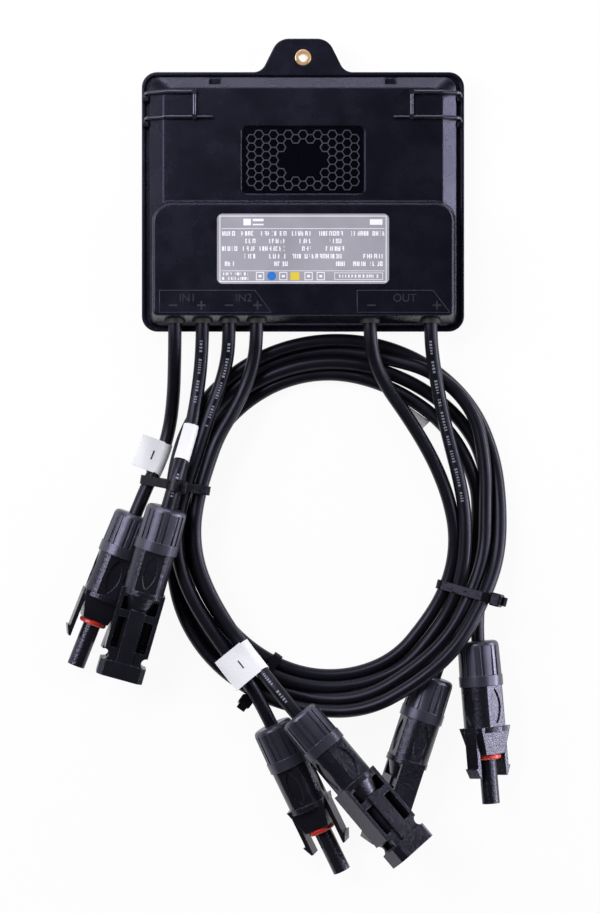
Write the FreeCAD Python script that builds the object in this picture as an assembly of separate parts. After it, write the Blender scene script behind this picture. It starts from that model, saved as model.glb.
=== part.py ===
import FreeCAD, Part
import math
import os

from FreeCAD import Placement, Rotation, Vector

# Solar power optimizer, lying on its back with its leads laid out in front of it.
# Millimetres. +X runs across the face, +Y up the face towards the hanging tab, +Z out of the face.
# The origin is under the middle of the housing, on the surface that it rests on.

# Driving dimensions: rear tray
flange_width = 129.0
flange_height = 103.8
flange_corner = 6.2
flange_thick = 2.0
flange_top = 9.5
lip_width = 1.4
lip_rise = 1.2
tray_inset = 3.6
tray_corner = 5.0
wall = 2.2
floor_thick = 2.0

# Driving dimensions: hanging tab and its bushing
tab_height = 13.4
tab_base_width = 33.2
tab_top_width = 19.8
tab_thick = 3.0
tab_tip_radius = 6.8
tab_foot_radius = 5.2
tab_hole_from_top = 7.6
bushing_bore = 3.3
bushing_sleeve = 4.9
bushing_collar = 6.4
bushing_collar_thick = 0.5

# Driving dimensions: front cover
gasket_thick = 0.8
gasket_inset = 0.3
cover_side_margin = 3.3
cover_end_margin = 2.4
cover_corner = 5.0
cover_edge = 2.4
face_top = 17.0
side_slope = 5.6
end_slope = 4.6
notch_width = 4.7
notch_depth = 3.1
notch_offset = 35.0

# Driving dimensions: raised lead box on the cover
hump_top = 24.0
hump_length = 46.9
hump_side_draft = 1.8
hump_upper_draft = 2.6
hump_lower_draft = 3.5
hump_upper_corner = 7.6
hump_lower_corner = 2.0
hump_edge = 0.8

# Driving dimensions: sunk honeycomb panel
panel_width = 49.0
panel_height = 26.9
panel_corner = 2.6
panel_centre_y = 9.4
panel_depth = 1.2
cell_flats = 3.38
cell_rib = 0.42
cell_rise = 0.6
cell_columns = 15
cell_rows = 7
plain_oval_columns = 3.6
plain_oval_rows = 2.6

# Driving dimensions: rating label
label_width = 68.0
label_height = 27.7
label_corner = 2.2
label_thick = 0.25
label_centre_y = -26.45

# Driving dimensions: wire clips on the upper corners
wire = 1.5
wire_tail = 1.1
wire_bead = 2.1
wire_bend = 1.2
clip_pivot_inset = 1.5
clip_upper_y = 36.4
clip_lower_y = 26.4
clip_overlap = 18.0
clip_tail = 7.2
clip_lift = 0.45
clip_rise = 2.4
foot_length = 3.2
lug_length = 2.0
lug_wall = 0.55
pivot_play = 0.08

# Driving dimensions: parts inside the housing
board_side_margin = 12.5
board_end_margin = 10.9
board_thick = 1.6
board_height_above_floor = 3.0
post_radius = 2.6
post_inset = 6.0
spreader_width = 62.0
spreader_height = 34.0
inductor_outer = 24.0
inductor_inner = 10.0
inductor_height = 11.0
inductor_spacing = 56.0
capacitor_radius = 4.8
capacitor_height = 12.5
capacitor_gap = 1.44
transistor_size = (9.5, 8.5, 3.2)
transistor_gap = 5.7
terminal_width = 6.0
terminal_length = 6.5

# Driving dimensions: leads
cord = 5.4
lead_height = 16.5
grommet = 8.0
grommet_proud = 0.9
seat_play = 0.15
lead_side_margins = {
    "in1_minus": 13.5, "in1_plus": 24.5, "in2_minus": 35.1, "in2_plus": 46.1,
    "out_minus": 37.9, "out_plus": 13.7,
}

# Driving dimensions: ring of the two wound leads, as radii every 45 degrees from +X
ring_centre = (12.8, -135.6)
ring_outer = (68.2, 75.2, 75.9, 74.2, 69.6, 75.8, 77.2, 74.4)
ring_inner = (44.8, 51.2, 57.2, 56.8, 53.8, 56.4, 58.4, 52.4)
ring_height = 8.3
ring_edge = 1.8

# Driving dimensions: gland nut
nut_length = 18.0
nut_rim = 17.6
nut_rim_length = 4.2
nut_crown = 16.4
nut_waist = 16.9
nut_round = 1.9
nut_pairs = 8
nut_groove = 1.0
nut_groove_depth = 0.6
nut_groove_gap = 2.5
nut_cavity = 13.4
nut_floor = 3.0

# Driving dimensions: connector body, seal and contact
barrel_length = 16.4
barrel_round = 16.6
barrel_wide = 16.0
barrel_thick = 14.4
thread_play = 0.1
spigot_depth = 9.0
seal_bore_wall = 1.0
seal_length = 11.0
dimple_length = 14.0
dimple_width = 5.2
dimple_depth = 0.6
contact_radius = 2.6
contact_start = 20.0
pin_radius = 2.0

# Driving dimensions: probe end
probe_total = 65.0
probe_radius = 3.55
probe_collar_length = 11.0
collar_rear_width = 16.4
collar_front_width = 10.4
collar_rear_thick = 12.6
collar_front_thick = 10.0
ridge_length = 2.0
ridge_rise = 0.5
finger_length = 18.0
finger_width = 6.2
finger_thick = 1.7
finger_reach = 8.6
barb_length = 4.0
barb_rise = 1.1
ring_seal_section = 1.9
probe_contact_setback = 2.5
socket_depth = 16.0

# Driving dimensions: shell end
shell_total = 70.4
shell_tube = 9.6
shell_cavity = 7.4
shell_cavity_depth = 22.0
shell_rib_width = 6.2
shell_rib_height = 11.0
shell_shoulder_length = 2.2
shell_cup_length = 6.0
shell_rail_outer = 17.6
shell_rail_thick = 1.6
shell_rail_height = 9.6
shell_floor_thick = 1.0
small_window = (37.5, 43.0)
large_window = (46.0, 58.5)
rail_end = 60.2
waist_width = 15.4
bite_radius = 2.1
end_flange_length = 6.4
end_flange_width = 18.7
end_flange_thick = 12.6
end_flange_chamfer = 2.1
pocket_height = 7.2
pin_setback = 4.5

# Driving dimensions: flags on the leads and cable ties
flag_thick = 0.3
flag_play = 0.35
tie_width = 3.6
tie_thick = 1.2
tie_head = (6.0, 5.4, 4.6)
tie_top_head_share = 0.235

# Levels and edges that follow from the dimensions above
flange_bottom_y = -(flange_height + tab_height) / 2
flange_top_y = flange_bottom_y + flange_height
housing_y = (flange_bottom_y + flange_top_y) / 2
cover_width = flange_width - 2 * cover_side_margin
cover_height = flange_height - 2 * cover_end_margin
board_width = flange_width - 2 * board_side_margin
board_height = flange_height - 2 * board_end_margin
clip_pivot_x = flange_width / 2 - clip_pivot_inset
clip_reach_x = cover_width / 2 - clip_overlap
lead_x = {
    name: (margin - flange_width / 2) * (1 if name.startswith("in") else -1)
    for name, margin in lead_side_margins.items()
}
cover_base = flange_top + gasket_thick
cover_top_y = housing_y + cover_height / 2
cover_bottom_y = housing_y - cover_height / 2
hump_base_top_y = cover_bottom_y + hump_length + hump_lower_draft
board_base = floor_thick + board_height_above_floor
board_top = board_base + board_thick
clip_pivot_z = flange_top + lip_rise + wire / 2 + pivot_play * 2
clip_bar_z = face_top + wire / 2 + clip_lift


def rounded_outline(width, y_low, y_high, r_high, r_low, z):
    """Closed outline of a rectangle whose upper and lower corners have their own radii."""
    left = -width / 2
    right = width / 2
    corners = [
        (right - r_low, y_low + r_low, r_low),
        (right - r_high, y_high - r_high, r_high),
        (left + r_high, y_high - r_high, r_high),
        (left + r_low, y_low + r_low, r_low),
    ]
    arcs = []
    for index, (x, y, radius) in enumerate(corners):
        circle = Part.Circle(Vector(x, y, z), Vector(0, 0, 1), radius)
        start = (index - 1) * math.pi / 2
        arcs.append(Part.Arc(circle, start, start + math.pi / 2).toShape())
    edges = []
    for index, arc in enumerate(arcs):
        following = arcs[(index + 1) % 4]
        edges.append(arc)
        edges.append(Part.makeLine(arc.Vertexes[1].Point, following.Vertexes[0].Point))
    return Part.Wire(edges)


def slab(outline, height):
    """Solid of an outline raised by a height."""
    return Part.Face(outline).extrude(Vector(0, 0, height))


def drafted(lower, upper):
    """Solid between two like outlines at different levels."""
    return Part.makeLoft([lower, upper], True, True)


def block(x_low, x_high, y_low, y_high, z_low, z_high):
    """Box given by its limits."""
    corner = Vector(x_low, y_low, z_low)
    return Part.makeBox(x_high - x_low, y_high - y_low, z_high - z_low, corner)


def rod(radius, length, start, direction=Vector(0, 0, 1)):
    """Round bar."""
    return Part.makeCylinder(radius, length, start, direction)


def join(shapes):
    """One shape of several that touch."""
    return shapes[0].multiFuse(shapes[1:]).removeSplitter()


def turned(profile):
    """Solid turned about the X axis from a closed list of (x, radius) points."""
    points = [Vector(x, r, 0) for x, r in profile]
    face = Part.Face(Part.makePolygon(points + points[:1]))
    return face.revolve(Vector(0, 0, 0), Vector(1, 0, 0), 360)


def rounded_path(points, radius_of):
    """Wire of straight runs joined by tangent arcs, and the smallest of their radii."""
    edges = []
    radii = []
    start = points[0]
    for before, corner, after in zip(points, points[1:], points[2:]):
        back = (before - corner).normalize()
        ahead = (after - corner).normalize()
        half_turn = (math.pi - back.getAngle(ahead)) / 2
        radius = radius_of((before - corner).Length, (after - corner).Length, half_turn)
        trim = radius * math.tan(half_turn)
        enter = corner + back * trim
        leave = corner + ahead * trim
        bisector = (back + ahead).normalize()
        centre = corner + bisector * (radius / math.cos(half_turn))
        middle = centre - bisector * radius
        edges.append(Part.makeLine(start, enter))
        edges.append(Part.Arc(enter, middle, leave).toShape())
        radii.append(radius)
        start = leave
    edges.append(Part.makeLine(start, points[-1]))
    return Part.Wire(edges), min(radii)


def swept(points, radius, radius_of):
    """Round tube along a rounded path, with its length and smallest bend."""
    path, bend = rounded_path(points, radius_of)
    heading = points[1] - points[0]
    section = Part.Wire(Part.makeCircle(radius, points[0], heading))
    solid = path.makePipeShell([section], True, False)
    return solid, path.Length, bend


def lead_radius(run_before, run_after, half_turn):
    """Widest bend that two runs of a lead leave room for."""
    return 0.45 * min(run_before, run_after) / math.tan(half_turn)


def save(name, shape):
    """Write one sub-part."""
    shape.exportStep("parts/" + name + ".step")
    print(name, "solids", len(shape.Solids), "valid", shape.isValid(), "volume", round(shape.Volume, 1))


# Rear tray with flange, lip, tab, board posts and clip lugs
def flange_outline(inset, z):
    radius = flange_corner - min(inset, flange_corner / 2)
    return rounded_outline(
        flange_width - 2 * inset, flange_bottom_y + inset, flange_top_y - inset, radius, radius, z)


def tab_outline(z):
    """Tab with rounded shoulders, run down into the flange with a hollow fillet at each foot."""
    tip_y = flange_top_y + tab_height
    slope = math.atan2(tab_height, (tab_base_width - tab_top_width) / 2)
    root_y = flange_top_y - flange_corner
    tip_trim = tab_tip_radius * math.tan(slope / 2)
    foot_trim = tab_foot_radius * math.tan(slope / 2)
    along = Vector(math.cos(slope), -math.sin(slope), 0)
    right_tip = Vector(tab_top_width / 2, tip_y, z)
    right_foot = Vector(tab_base_width / 2, flange_top_y, z)
    tip_in = right_tip - Vector(tip_trim, 0, 0)
    tip_out = right_tip + along * tip_trim
    tip_centre = tip_in - Vector(0, tab_tip_radius, 0)
    foot_in = right_foot - along * foot_trim
    foot_out = right_foot + Vector(foot_trim, 0, 0)
    foot_centre = foot_out + Vector(0, tab_foot_radius, 0)
    half = math.pi / 2 - slope / 2
    tip_middle = tip_centre + Vector(math.cos(half), math.sin(half), 0) * tab_tip_radius
    foot_middle = foot_centre - Vector(math.cos(half), math.sin(half), 0) * tab_foot_radius
    right = [
        Part.Arc(tip_in, tip_middle, tip_out).toShape(),
        Part.makeLine(tip_out, foot_in),
        Part.Arc(foot_in, foot_middle, foot_out).toShape(),
        Part.makeLine(foot_out, Vector(foot_out.x, root_y, z)),
    ]
    left = [edge.mirror(Vector(0, 0, 0), Vector(1, 0, 0)) for edge in right]
    crown = Part.makeLine(Vector(-tip_in.x, tip_y, z), tip_in)
    root = Part.makeLine(Vector(foot_out.x, root_y, z), Vector(-foot_out.x, root_y, z))
    return Part.Wire(Part.__sortEdges__([crown, root] + right + left))


def clip_lug(side, foot_start):
    """Small eye on the flange that holds the end of one foot of a wire clip."""
    half = wire / 2 + pivot_play + lug_wall
    x_mid = side * clip_pivot_x
    y_low = foot_start - foot_length
    lug = block(
        x_mid - half, x_mid + half, y_low, y_low + lug_length,
        flange_top - flange_thick / 2, clip_pivot_z + half)
    hole_start = Vector(x_mid, y_low - 1, clip_pivot_z)
    return lug, rod(wire / 2 + pivot_play, lug_length + 2, hole_start, Vector(0, 1, 0))


def rear_tray():
    flange_base = flange_top - flange_thick
    flange = slab(flange_outline(0, flange_base), flange_thick + lip_rise)
    well = slab(flange_outline(lip_width, flange_top), lip_rise + 1)
    pan_width = flange_width - 2 * tray_inset
    pan = slab(rounded_outline(
        pan_width, flange_bottom_y + tray_inset, flange_top_y - tray_inset, tray_corner, tray_corner, 0),
        flange_base)
    cavity_inset = tray_inset + wall
    cavity = slab(rounded_outline(
        flange_width - 2 * cavity_inset, flange_bottom_y + cavity_inset, flange_top_y - cavity_inset,
        tray_corner - wall, tray_corner - wall, floor_thick), flange_top)
    tab = slab(tab_outline(flange_top + lip_rise - tab_thick), tab_thick)
    tray = join([flange, pan, tab]).cut(well).cut(cavity)
    posts = []
    for x in (-board_width / 2 + post_inset, board_width / 2 - post_inset):
        for y in (housing_y - board_height / 2 + post_inset, housing_y + board_height / 2 - post_inset):
            posts.append(rod(post_radius, board_base - floor_thick / 2, Vector(x, y, floor_thick / 2)))
    lugs = []
    holes = []
    for side in (-1, 1):
        for foot_start in (clip_upper_y, clip_lower_y):
            lug, hole = clip_lug(side, foot_start)
            lugs.append(lug)
            holes.append(hole)
    hole_y = flange_top_y + tab_height - tab_hole_from_top
    holes.append(rod(bushing_sleeve / 2 + seat_play / 3, face_top, Vector(0, hole_y, 0)))
    tray = join([tray] + posts + lugs)
    return tray.cut(Part.makeCompound(holes))


def tab_bushing():
    """Flanged eyelet through the tab."""
    base = flange_top + lip_rise - tab_thick - bushing_collar_thick
    top = flange_top + lip_rise
    start = Vector(0, flange_top_y + tab_height - tab_hole_from_top, base)
    height = top - base + bushing_collar_thick
    collar = rod(bushing_collar / 2, bushing_collar_thick, start)
    upper = rod(bushing_collar / 2, bushing_collar_thick, Vector(start.x, start.y, top))
    sleeve = rod(bushing_sleeve / 2, height, start)
    return join([collar, sleeve, upper]).cut(rod(bushing_bore / 2, height, start))


def gasket():
    def outline(inset, z):
        radius = cover_corner - inset
        return rounded_outline(
            cover_width - 2 * inset, cover_bottom_y + inset, cover_top_y - inset, radius, radius, z)
    outer = slab(outline(gasket_inset, flange_top), gasket_thick)
    return outer.cut(slab(outline(wall - gasket_inset, flange_top), gasket_thick))


# Front cover: one shell with sloped sides and the raised lead box
def cover_envelope(inset, base):
    """Outer form of the cover, drawn in by an inset on its sides and tops."""
    corner = cover_corner - inset
    face_corner = cover_corner - inset
    width = cover_width - 2 * inset
    low = cover_bottom_y + inset
    high = cover_top_y - inset
    edge_top = cover_base + cover_edge
    face_z = face_top - inset
    skirt = slab(rounded_outline(width, low, high, corner, corner, base), edge_top - base)
    dome = drafted(
        rounded_outline(width, low, high, corner, corner, edge_top),
        rounded_outline(
            width - 2 * side_slope, low + end_slope, high - end_slope, face_corner, face_corner, face_z))
    hump_low = rounded_outline(
        width, low, hump_base_top_y - inset, hump_upper_corner - inset, hump_lower_corner, base)
    hump_high = rounded_outline(
        width - 2 * hump_side_draft, low + hump_lower_draft, hump_base_top_y - hump_upper_draft - inset,
        hump_upper_corner - inset, hump_lower_corner, hump_top - inset)
    return [skirt, dome, drafted(hump_low, hump_high)]


def hex_outline(x, y, flats, z):
    radius = flats / math.sqrt(3)
    points = []
    for corner in range(7):
        turn = math.radians(60 * corner)
        points.append(Vector(x + radius * math.cos(turn), y + radius * math.sin(turn), z))
    return Part.makePolygon(points)


def honeycomb_cells():
    """Centres of the cells. The middle of the panel stays plain in an oval."""
    column_pitch = cell_flats * math.sqrt(3) / 2
    middle = (cell_columns - 1) / 2
    cells = []
    for column in range(cell_columns):
        rows = cell_rows - 1 if column % 2 == 0 else cell_rows
        for row in range(rows):
            x = (column - middle) * column_pitch
            y = (row - (rows - 1) / 2) * cell_flats
            across = x / (plain_oval_columns * column_pitch)
            upward = y / (plain_oval_rows * cell_flats)
            if across ** 2 + upward ** 2 > 1:
                cells.append((x, panel_centre_y + y))
    return cells


def honeycomb():
    """Raised hexagonal ribs on the panel's floor."""
    base = face_top - panel_depth - cell_rise / 2
    cells = honeycomb_cells()
    plates = [Part.Face(hex_outline(x, y, cell_flats + cell_rib, base)) for x, y in cells]
    holes = [Part.Face(hex_outline(x, y, cell_flats - cell_rib, base)) for x, y in cells]
    lace = plates[0].multiFuse(plates[1:]).removeSplitter()
    lace = lace.cut(Part.makeCompound(holes))
    return lace.extrude(Vector(0, 0, cell_rise * 1.5))


def front_cover():
    outer = join(cover_envelope(0, cover_base))
    rims = []
    for edge in outer.Edges:
        box = edge.BoundBox
        if box.ZMin > hump_top - 0.01 and box.ZMax < hump_top + 0.01:
            rims.append(edge)
    outer = outer.makeFillet(hump_edge, rims)
    hollow = join(cover_envelope(wall, cover_base - 1))
    panel = slab(rounded_outline(
        panel_width, panel_centre_y - panel_height / 2, panel_centre_y + panel_height / 2,
        panel_corner, panel_corner, face_top - panel_depth), panel_depth + 1)
    notches = []
    for x in (-notch_offset, notch_offset):
        notches.append(block(
            x - notch_width / 2, x + notch_width / 2, cover_top_y - notch_depth, cover_top_y + 1,
            cover_base + cover_edge / 2, face_top))
    backing = block(
        -panel_width / 2 - wall, panel_width / 2 + wall, panel_centre_y - panel_height / 2 - wall,
        panel_centre_y + panel_height / 2 + wall, face_top - panel_depth - wall, face_top - wall / 2)
    notch_backs = []
    for x in (-notch_offset, notch_offset):
        notch_backs.append(block(
            x - notch_width / 2 - wall, x + notch_width / 2 + wall, cover_top_y - notch_depth - wall,
            cover_top_y - wall / 2, cover_base, face_top - wall - end_slope / 2))
    shell = outer.cut(hollow)
    inner_wall = join([backing] + notch_backs).common(outer)
    shell = shell.fuse(inner_wall).removeSplitter()
    shell = shell.cut(Part.makeCompound([panel] + notches))
    holes = [lead_bore(x, grommet / 2 + seat_play / 2) for x in lead_x.values()]
    shell = shell.cut(Part.makeCompound(holes))
    return shell.fuse(honeycomb()).removeSplitter()


# Leads pass the lower wall of the raised box
def wall_y(z):
    """Where the outer face of the lower wall stands at a height."""
    return cover_bottom_y + hump_lower_draft * (z - cover_base) / (hump_top - cover_base)


def lead_bore(x, radius):
    start = Vector(x, wall_y(lead_height) - 2 * wall, lead_height)
    return rod(radius, 4 * wall, start, Vector(0, 1, 0))


def lead_grommets():
    sleeves = []
    for x in lead_x.values():
        start = Vector(x, wall_y(lead_height) - grommet_proud, lead_height)
        sleeve = rod(grommet / 2, wall + 2 * grommet_proud, start, Vector(0, 1, 0))
        sleeves.append(sleeve.cut(lead_bore(x, cord / 2 + seat_play)))
    return Part.makeCompound(sleeves)


def rating_label():
    low = label_centre_y - label_height / 2
    high = label_centre_y + label_height / 2
    return slab(
        rounded_outline(label_width, low, high, label_corner, label_corner, hump_top), label_thick)


# Wire clips, drawn for the left side and mirrored for the right
def wire_clip(side):
    pivot_x = -clip_pivot_x
    over_x = -cover_width / 2 - wire / 4
    over_z = cover_base + cover_edge + clip_rise
    shoulder_x = -cover_width / 2 + side_slope
    half_route = [
        Vector(pivot_x, clip_upper_y - foot_length, clip_pivot_z),
        Vector(pivot_x, clip_upper_y, clip_pivot_z),
        Vector(over_x, clip_upper_y, over_z),
        Vector(shoulder_x, clip_upper_y, clip_bar_z),
        Vector(-clip_reach_x, clip_upper_y, clip_bar_z),
    ]
    route = half_route + [
        Vector(-clip_reach_x, clip_lower_y, clip_bar_z),
        Vector(shoulder_x, clip_lower_y, clip_bar_z),
        Vector(over_x, clip_lower_y, over_z),
        Vector(pivot_x, clip_lower_y, clip_pivot_z),
        Vector(pivot_x, clip_lower_y - foot_length, clip_pivot_z),
    ]

    def bend(run_before, run_after, half_turn):
        return min(wire_bend, 0.45 * min(run_before, run_after) / math.tan(half_turn))

    bail = swept(route, wire / 2, bend)[0]
    tail_start = Vector(-clip_reach_x - wire, clip_lower_y, clip_bar_z)
    tail = rod(wire_tail / 2, clip_tail + wire, tail_start, Vector(1, 0, 0))
    beads = []
    for y in (clip_upper_y, clip_lower_y):
        bead_start = Vector(-clip_reach_x, y, clip_bar_z - wire_bead / 2)
        beads.append(rod(wire_bead / 2, wire_bead, bead_start))
    clip = join([bail, tail] + beads)
    if side > 0:
        clip = clip.mirror(Vector(0, 0, 0), Vector(1, 0, 0))
    return clip


# Parts inside the housing
def circuit_board():
    low = housing_y - board_height / 2
    return slab(rounded_outline(
        board_width, low, low + board_height, post_radius, post_radius, board_base), board_thick)


def heat_spreader():
    return block(
        -spreader_width / 2, spreader_width / 2, panel_centre_y - spreader_height / 2,
        panel_centre_y + spreader_height / 2, floor_thick, board_base)


def inductors():
    """Two ring cores lying on the board under the raised box."""
    cores = []
    y = (hump_base_top_y + cover_bottom_y) / 2
    for x in (-inductor_spacing / 2, inductor_spacing / 2):
        start = Vector(x, y, board_top)
        core = rod(inductor_outer / 2, inductor_height, start)
        cores.append(core.cut(rod(inductor_inner / 2, inductor_height, start)))
    return Part.makeCompound(cores)


def capacitors():
    cans = []
    y = (hump_base_top_y + cover_bottom_y) / 2
    reach = capacitor_radius + capacitor_gap / 2
    for column in (-1, 1):
        for row in (-1, 1):
            start = Vector(column * reach, y + row * reach, board_top)
            cans.append(rod(capacitor_radius, capacitor_height, start))
    return Part.makeCompound(cans)


def transistors():
    width, depth, height = transistor_size
    packs = []
    for column in (-1, 0, 1):
        for row in (-1, 1):
            x = column * (width + transistor_gap)
            y = panel_centre_y + row * depth
            packs.append(block(
                x - width / 2, x + width / 2, y - depth / 2, y + depth / 2, board_top, board_top + height))
    return Part.makeCompound(packs)


def lead_start_y():
    """Inner end of every lead, against its terminal."""
    return wall_y(lead_height) + 2 * wall


def lead_terminals():
    posts = []
    for x in lead_x.values():
        posts.append(block(
            x - terminal_width / 2, x + terminal_width / 2, lead_start_y(),
            lead_start_y() + terminal_length, board_top, lead_height + cord / 2))
    return Part.makeCompound(posts)


# Photovoltaic connectors, drawn along +X from the lead's end of the nut to the mating end
def gland_nut():
    """Cap nut with a rounded crown, paired grooves and a smooth rim."""
    shoulder = []
    for step in range(4):
        turn = math.radians(30 * step)
        shoulder.append((
            nut_round - nut_round * math.cos(turn),
            nut_crown / 2 - nut_round + nut_round * math.sin(turn)))
    rim_start = nut_length - nut_rim_length
    bore = cord / 2 + 2 * seat_play
    nut = turned(
        [(0, bore)] + shoulder + [
            (rim_start, nut_waist / 2), (rim_start, nut_rim / 2), (nut_length, nut_rim / 2),
            (nut_length, nut_cavity / 2), (nut_floor, nut_cavity / 2), (nut_floor, bore)])
    grooves = []
    half_gap = math.degrees(nut_groove_gap / nut_waist)
    floor = nut_waist / 2 - nut_groove_depth
    for pair in range(nut_pairs):
        for offset in (-half_gap, half_gap):
            groove = block(
                nut_round, rim_start, -nut_groove / 2, nut_groove / 2, floor, nut_rim)
            groove.rotate(Vector(0, 0, 0), Vector(1, 0, 0), 360 * pair / nut_pairs + offset)
            grooves.append(groove)
    return nut.cut(Part.makeCompound(grooves))


def gland_seal():
    """Rubber sleeve squeezed round the lead under the nut."""
    outer = nut_cavity / 2 - thread_play - seal_bore_wall - seat_play
    start = nut_floor + seat_play
    bore = cord / 2 + seat_play
    return turned([(start, bore), (start, outer), (start + seal_length, outer), (start + seal_length, bore)])


def dimple():
    """Lens-shaped hollow in one flat of the barrel."""
    middle = nut_length + barrel_length / 2
    rise = dimple_width / 2
    left = Vector(middle - dimple_length / 2, 0, 0)
    right = Vector(middle + dimple_length / 2, 0, 0)
    upper = Part.Arc(left, Vector(middle, rise, 0), right).toShape()
    lower = Part.Arc(right, Vector(middle, -rise, 0), left).toShape()
    return Part.Face(Part.Wire([upper, lower])).extrude(Vector(0, 0, 2 * dimple_depth))


def barrel():
    """Threaded spigot and flatted barrel, with the lead's bore and the contact's bore."""
    spigot_radius = nut_cavity / 2 - thread_play
    seal_room = spigot_radius - seal_bore_wall
    seal_end = nut_floor + seal_length + 2 * seat_play
    front = nut_length + barrel_length
    spigot_length = nut_length - spigot_depth + wall
    spigot = rod(spigot_radius, spigot_length, Vector(spigot_depth, 0, 0), Vector(1, 0, 0))
    round_bar = rod(barrel_round / 2, barrel_length, Vector(nut_length, 0, 0), Vector(1, 0, 0))
    flats = block(
        nut_length, front, -barrel_wide / 2, barrel_wide / 2, -barrel_thick / 2, barrel_thick / 2)
    body = join([spigot, round_bar.common(flats)])
    seal_bore = rod(seal_room, seal_end, Vector(0, 0, 0), Vector(1, 0, 0))
    hollows = [seal_bore]
    for turn, reach in ((0, barrel_thick), (90, barrel_wide), (180, barrel_thick), (270, barrel_wide)):
        cut = dimple()
        cut.translate(Vector(0, 0, reach / 2 - dimple_depth))
        cut.rotate(Vector(0, 0, 0), Vector(1, 0, 0), turn)
        hollows.append(cut)
    return body.cut(Part.makeCompound(hollows))


def contact_bore(length):
    return rod(contact_radius + seat_play / 3, length, Vector(0, 0, 0), Vector(1, 0, 0))


def latch_finger(side):
    """Springy arm beside the probe, with a barb at its end."""
    front = nut_length + barrel_length + probe_collar_length
    start = front - finger_length / 2
    end = start + finger_length
    outline = [
        Vector(start, finger_reach - finger_thick, 0),
        Vector(end, finger_reach - finger_thick, 0),
        Vector(end, finger_reach - finger_thick / 2, 0),
        Vector(end - barb_length, finger_reach + barb_rise, 0),
        Vector(end - barb_length, finger_reach, 0),
        Vector(start, finger_reach, 0),
    ]
    arm = Part.Face(Part.makePolygon(outline + outline[:1])).extrude(Vector(0, 0, finger_width))
    arm.translate(Vector(0, 0, -finger_width / 2))
    if side < 0:
        arm = arm.mirror(Vector(0, 0, 0), Vector(0, 1, 0))
    return arm


def cross_rectangle(x, width, thick):
    points = [
        Vector(x, -width / 2, -thick / 2), Vector(x, width / 2, -thick / 2),
        Vector(x, width / 2, thick / 2), Vector(x, -width / 2, thick / 2),
    ]
    return Part.makePolygon(points + points[:1])


def probe_body():
    """Barrel, flared collar, two latch fingers and the hollow probe."""
    rear = nut_length + barrel_length
    front = rear + probe_collar_length
    collar = drafted(
        cross_rectangle(rear, collar_rear_width, collar_rear_thick),
        cross_rectangle(front, collar_front_width, collar_front_thick))
    ridge = rod(barrel_round / 2 + ridge_rise, ridge_length, Vector(rear, 0, 0), Vector(1, 0, 0))
    root = block(
        rear, rear + 2 * ridge_length, -finger_reach, finger_reach, -finger_width / 2, finger_width / 2)
    shaft = rod(probe_radius, probe_total - rear, Vector(rear, 0, 0), Vector(1, 0, 0))
    body = join([barrel(), collar, ridge, root, shaft, latch_finger(1), latch_finger(-1)])
    return body.cut(contact_bore(probe_total))


def sealing_ring():
    """Ring on the probe against the collar."""
    front = nut_length + barrel_length + probe_collar_length
    inner = probe_radius + seat_play / 3
    outer = inner + ring_seal_section
    end = front + ring_seal_section
    edge = ring_seal_section / 4
    return turned([
        (front, inner), (front, outer - edge), (front + edge, outer),
        (end - edge, outer), (end, outer - edge), (end, inner)])


def socket_contact():
    end = probe_total - probe_contact_setback
    body = rod(contact_radius, end - contact_start, Vector(contact_start, 0, 0), Vector(1, 0, 0))
    return body.cut(rod(pin_radius, socket_depth, Vector(end - socket_depth, 0, 0), Vector(1, 0, 0)))


def shell_body():
    """Barrel, tapered cup, ribbed tube, side rails with windows, and the end flange."""
    rear = nut_length + barrel_length
    flange_start = shell_total - end_flange_length
    tube_radius = shell_tube / 2
    half_width = shell_rail_outer / 2
    rail_inner = half_width - shell_rail_thick
    half_height = shell_rail_height / 2
    half_rib = shell_rib_width / 2
    tube = rod(tube_radius, shell_total - rear, Vector(rear, 0, 0), Vector(1, 0, 0))
    shoulder = rod(barrel_round / 2 + seat_play, shell_shoulder_length, Vector(rear, 0, 0), Vector(1, 0, 0))
    cup = Part.makeCone(
        rail_inner, tube_radius, shell_cup_length, Vector(rear + shell_shoulder_length, 0, 0), Vector(1, 0, 0))
    rib_start = rear + shell_shoulder_length + shell_cup_length
    rib = block(
        rib_start, shell_total, -half_rib, half_rib, -shell_rib_height / 2, shell_rib_height / 2)
    pieces = [barrel(), tube, shoulder, cup, rib]
    for side in (-1, 1):
        inner, outer = sorted((side * rail_inner, side * half_width))
        pieces.append(block(rear, rail_end, inner, outer, -half_height, half_height))
    for start, end in ((rear, small_window[0]), (small_window[1], large_window[0])):
        pieces.append(block(start, end, -half_width, half_width, -half_height, half_height))
    pieces.append(block(
        large_window[1], flange_start, -waist_width / 2, waist_width / 2, -half_height, half_height))
    pieces.append(block(
        rear, flange_start, -rail_inner, rail_inner, -half_height, shell_floor_thick - half_height))
    end_block = block(
        flange_start, shell_total, -end_flange_width / 2, end_flange_width / 2,
        -end_flange_thick / 2, end_flange_thick / 2)
    corners = [edge for edge in end_block.Edges if edge.BoundBox.XLength > end_flange_length / 2]
    pieces.append(end_block.makeChamfer(end_flange_chamfer, corners))
    body = join(pieces)
    cuts = [contact_bore(shell_total)]
    cavity_start = shell_total - shell_cavity_depth
    cuts.append(rod(shell_cavity / 2, shell_cavity_depth, Vector(cavity_start, 0, 0), Vector(1, 0, 0)))
    bite_x = (rail_end + flange_start) / 2
    for side in (-1, 1):
        inner, outer = sorted((side * (tube_radius + seat_play), side * rail_inner))
        cuts.append(block(
            small_window[1] - shell_rail_thick, shell_total, inner, outer, -pocket_height / 2, pocket_height / 2))
        bite_start = Vector(bite_x, side * half_width, -end_flange_thick / 2)
        cuts.append(rod(bite_radius, end_flange_thick, bite_start))
    return body.cut(Part.makeCompound(cuts))


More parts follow.
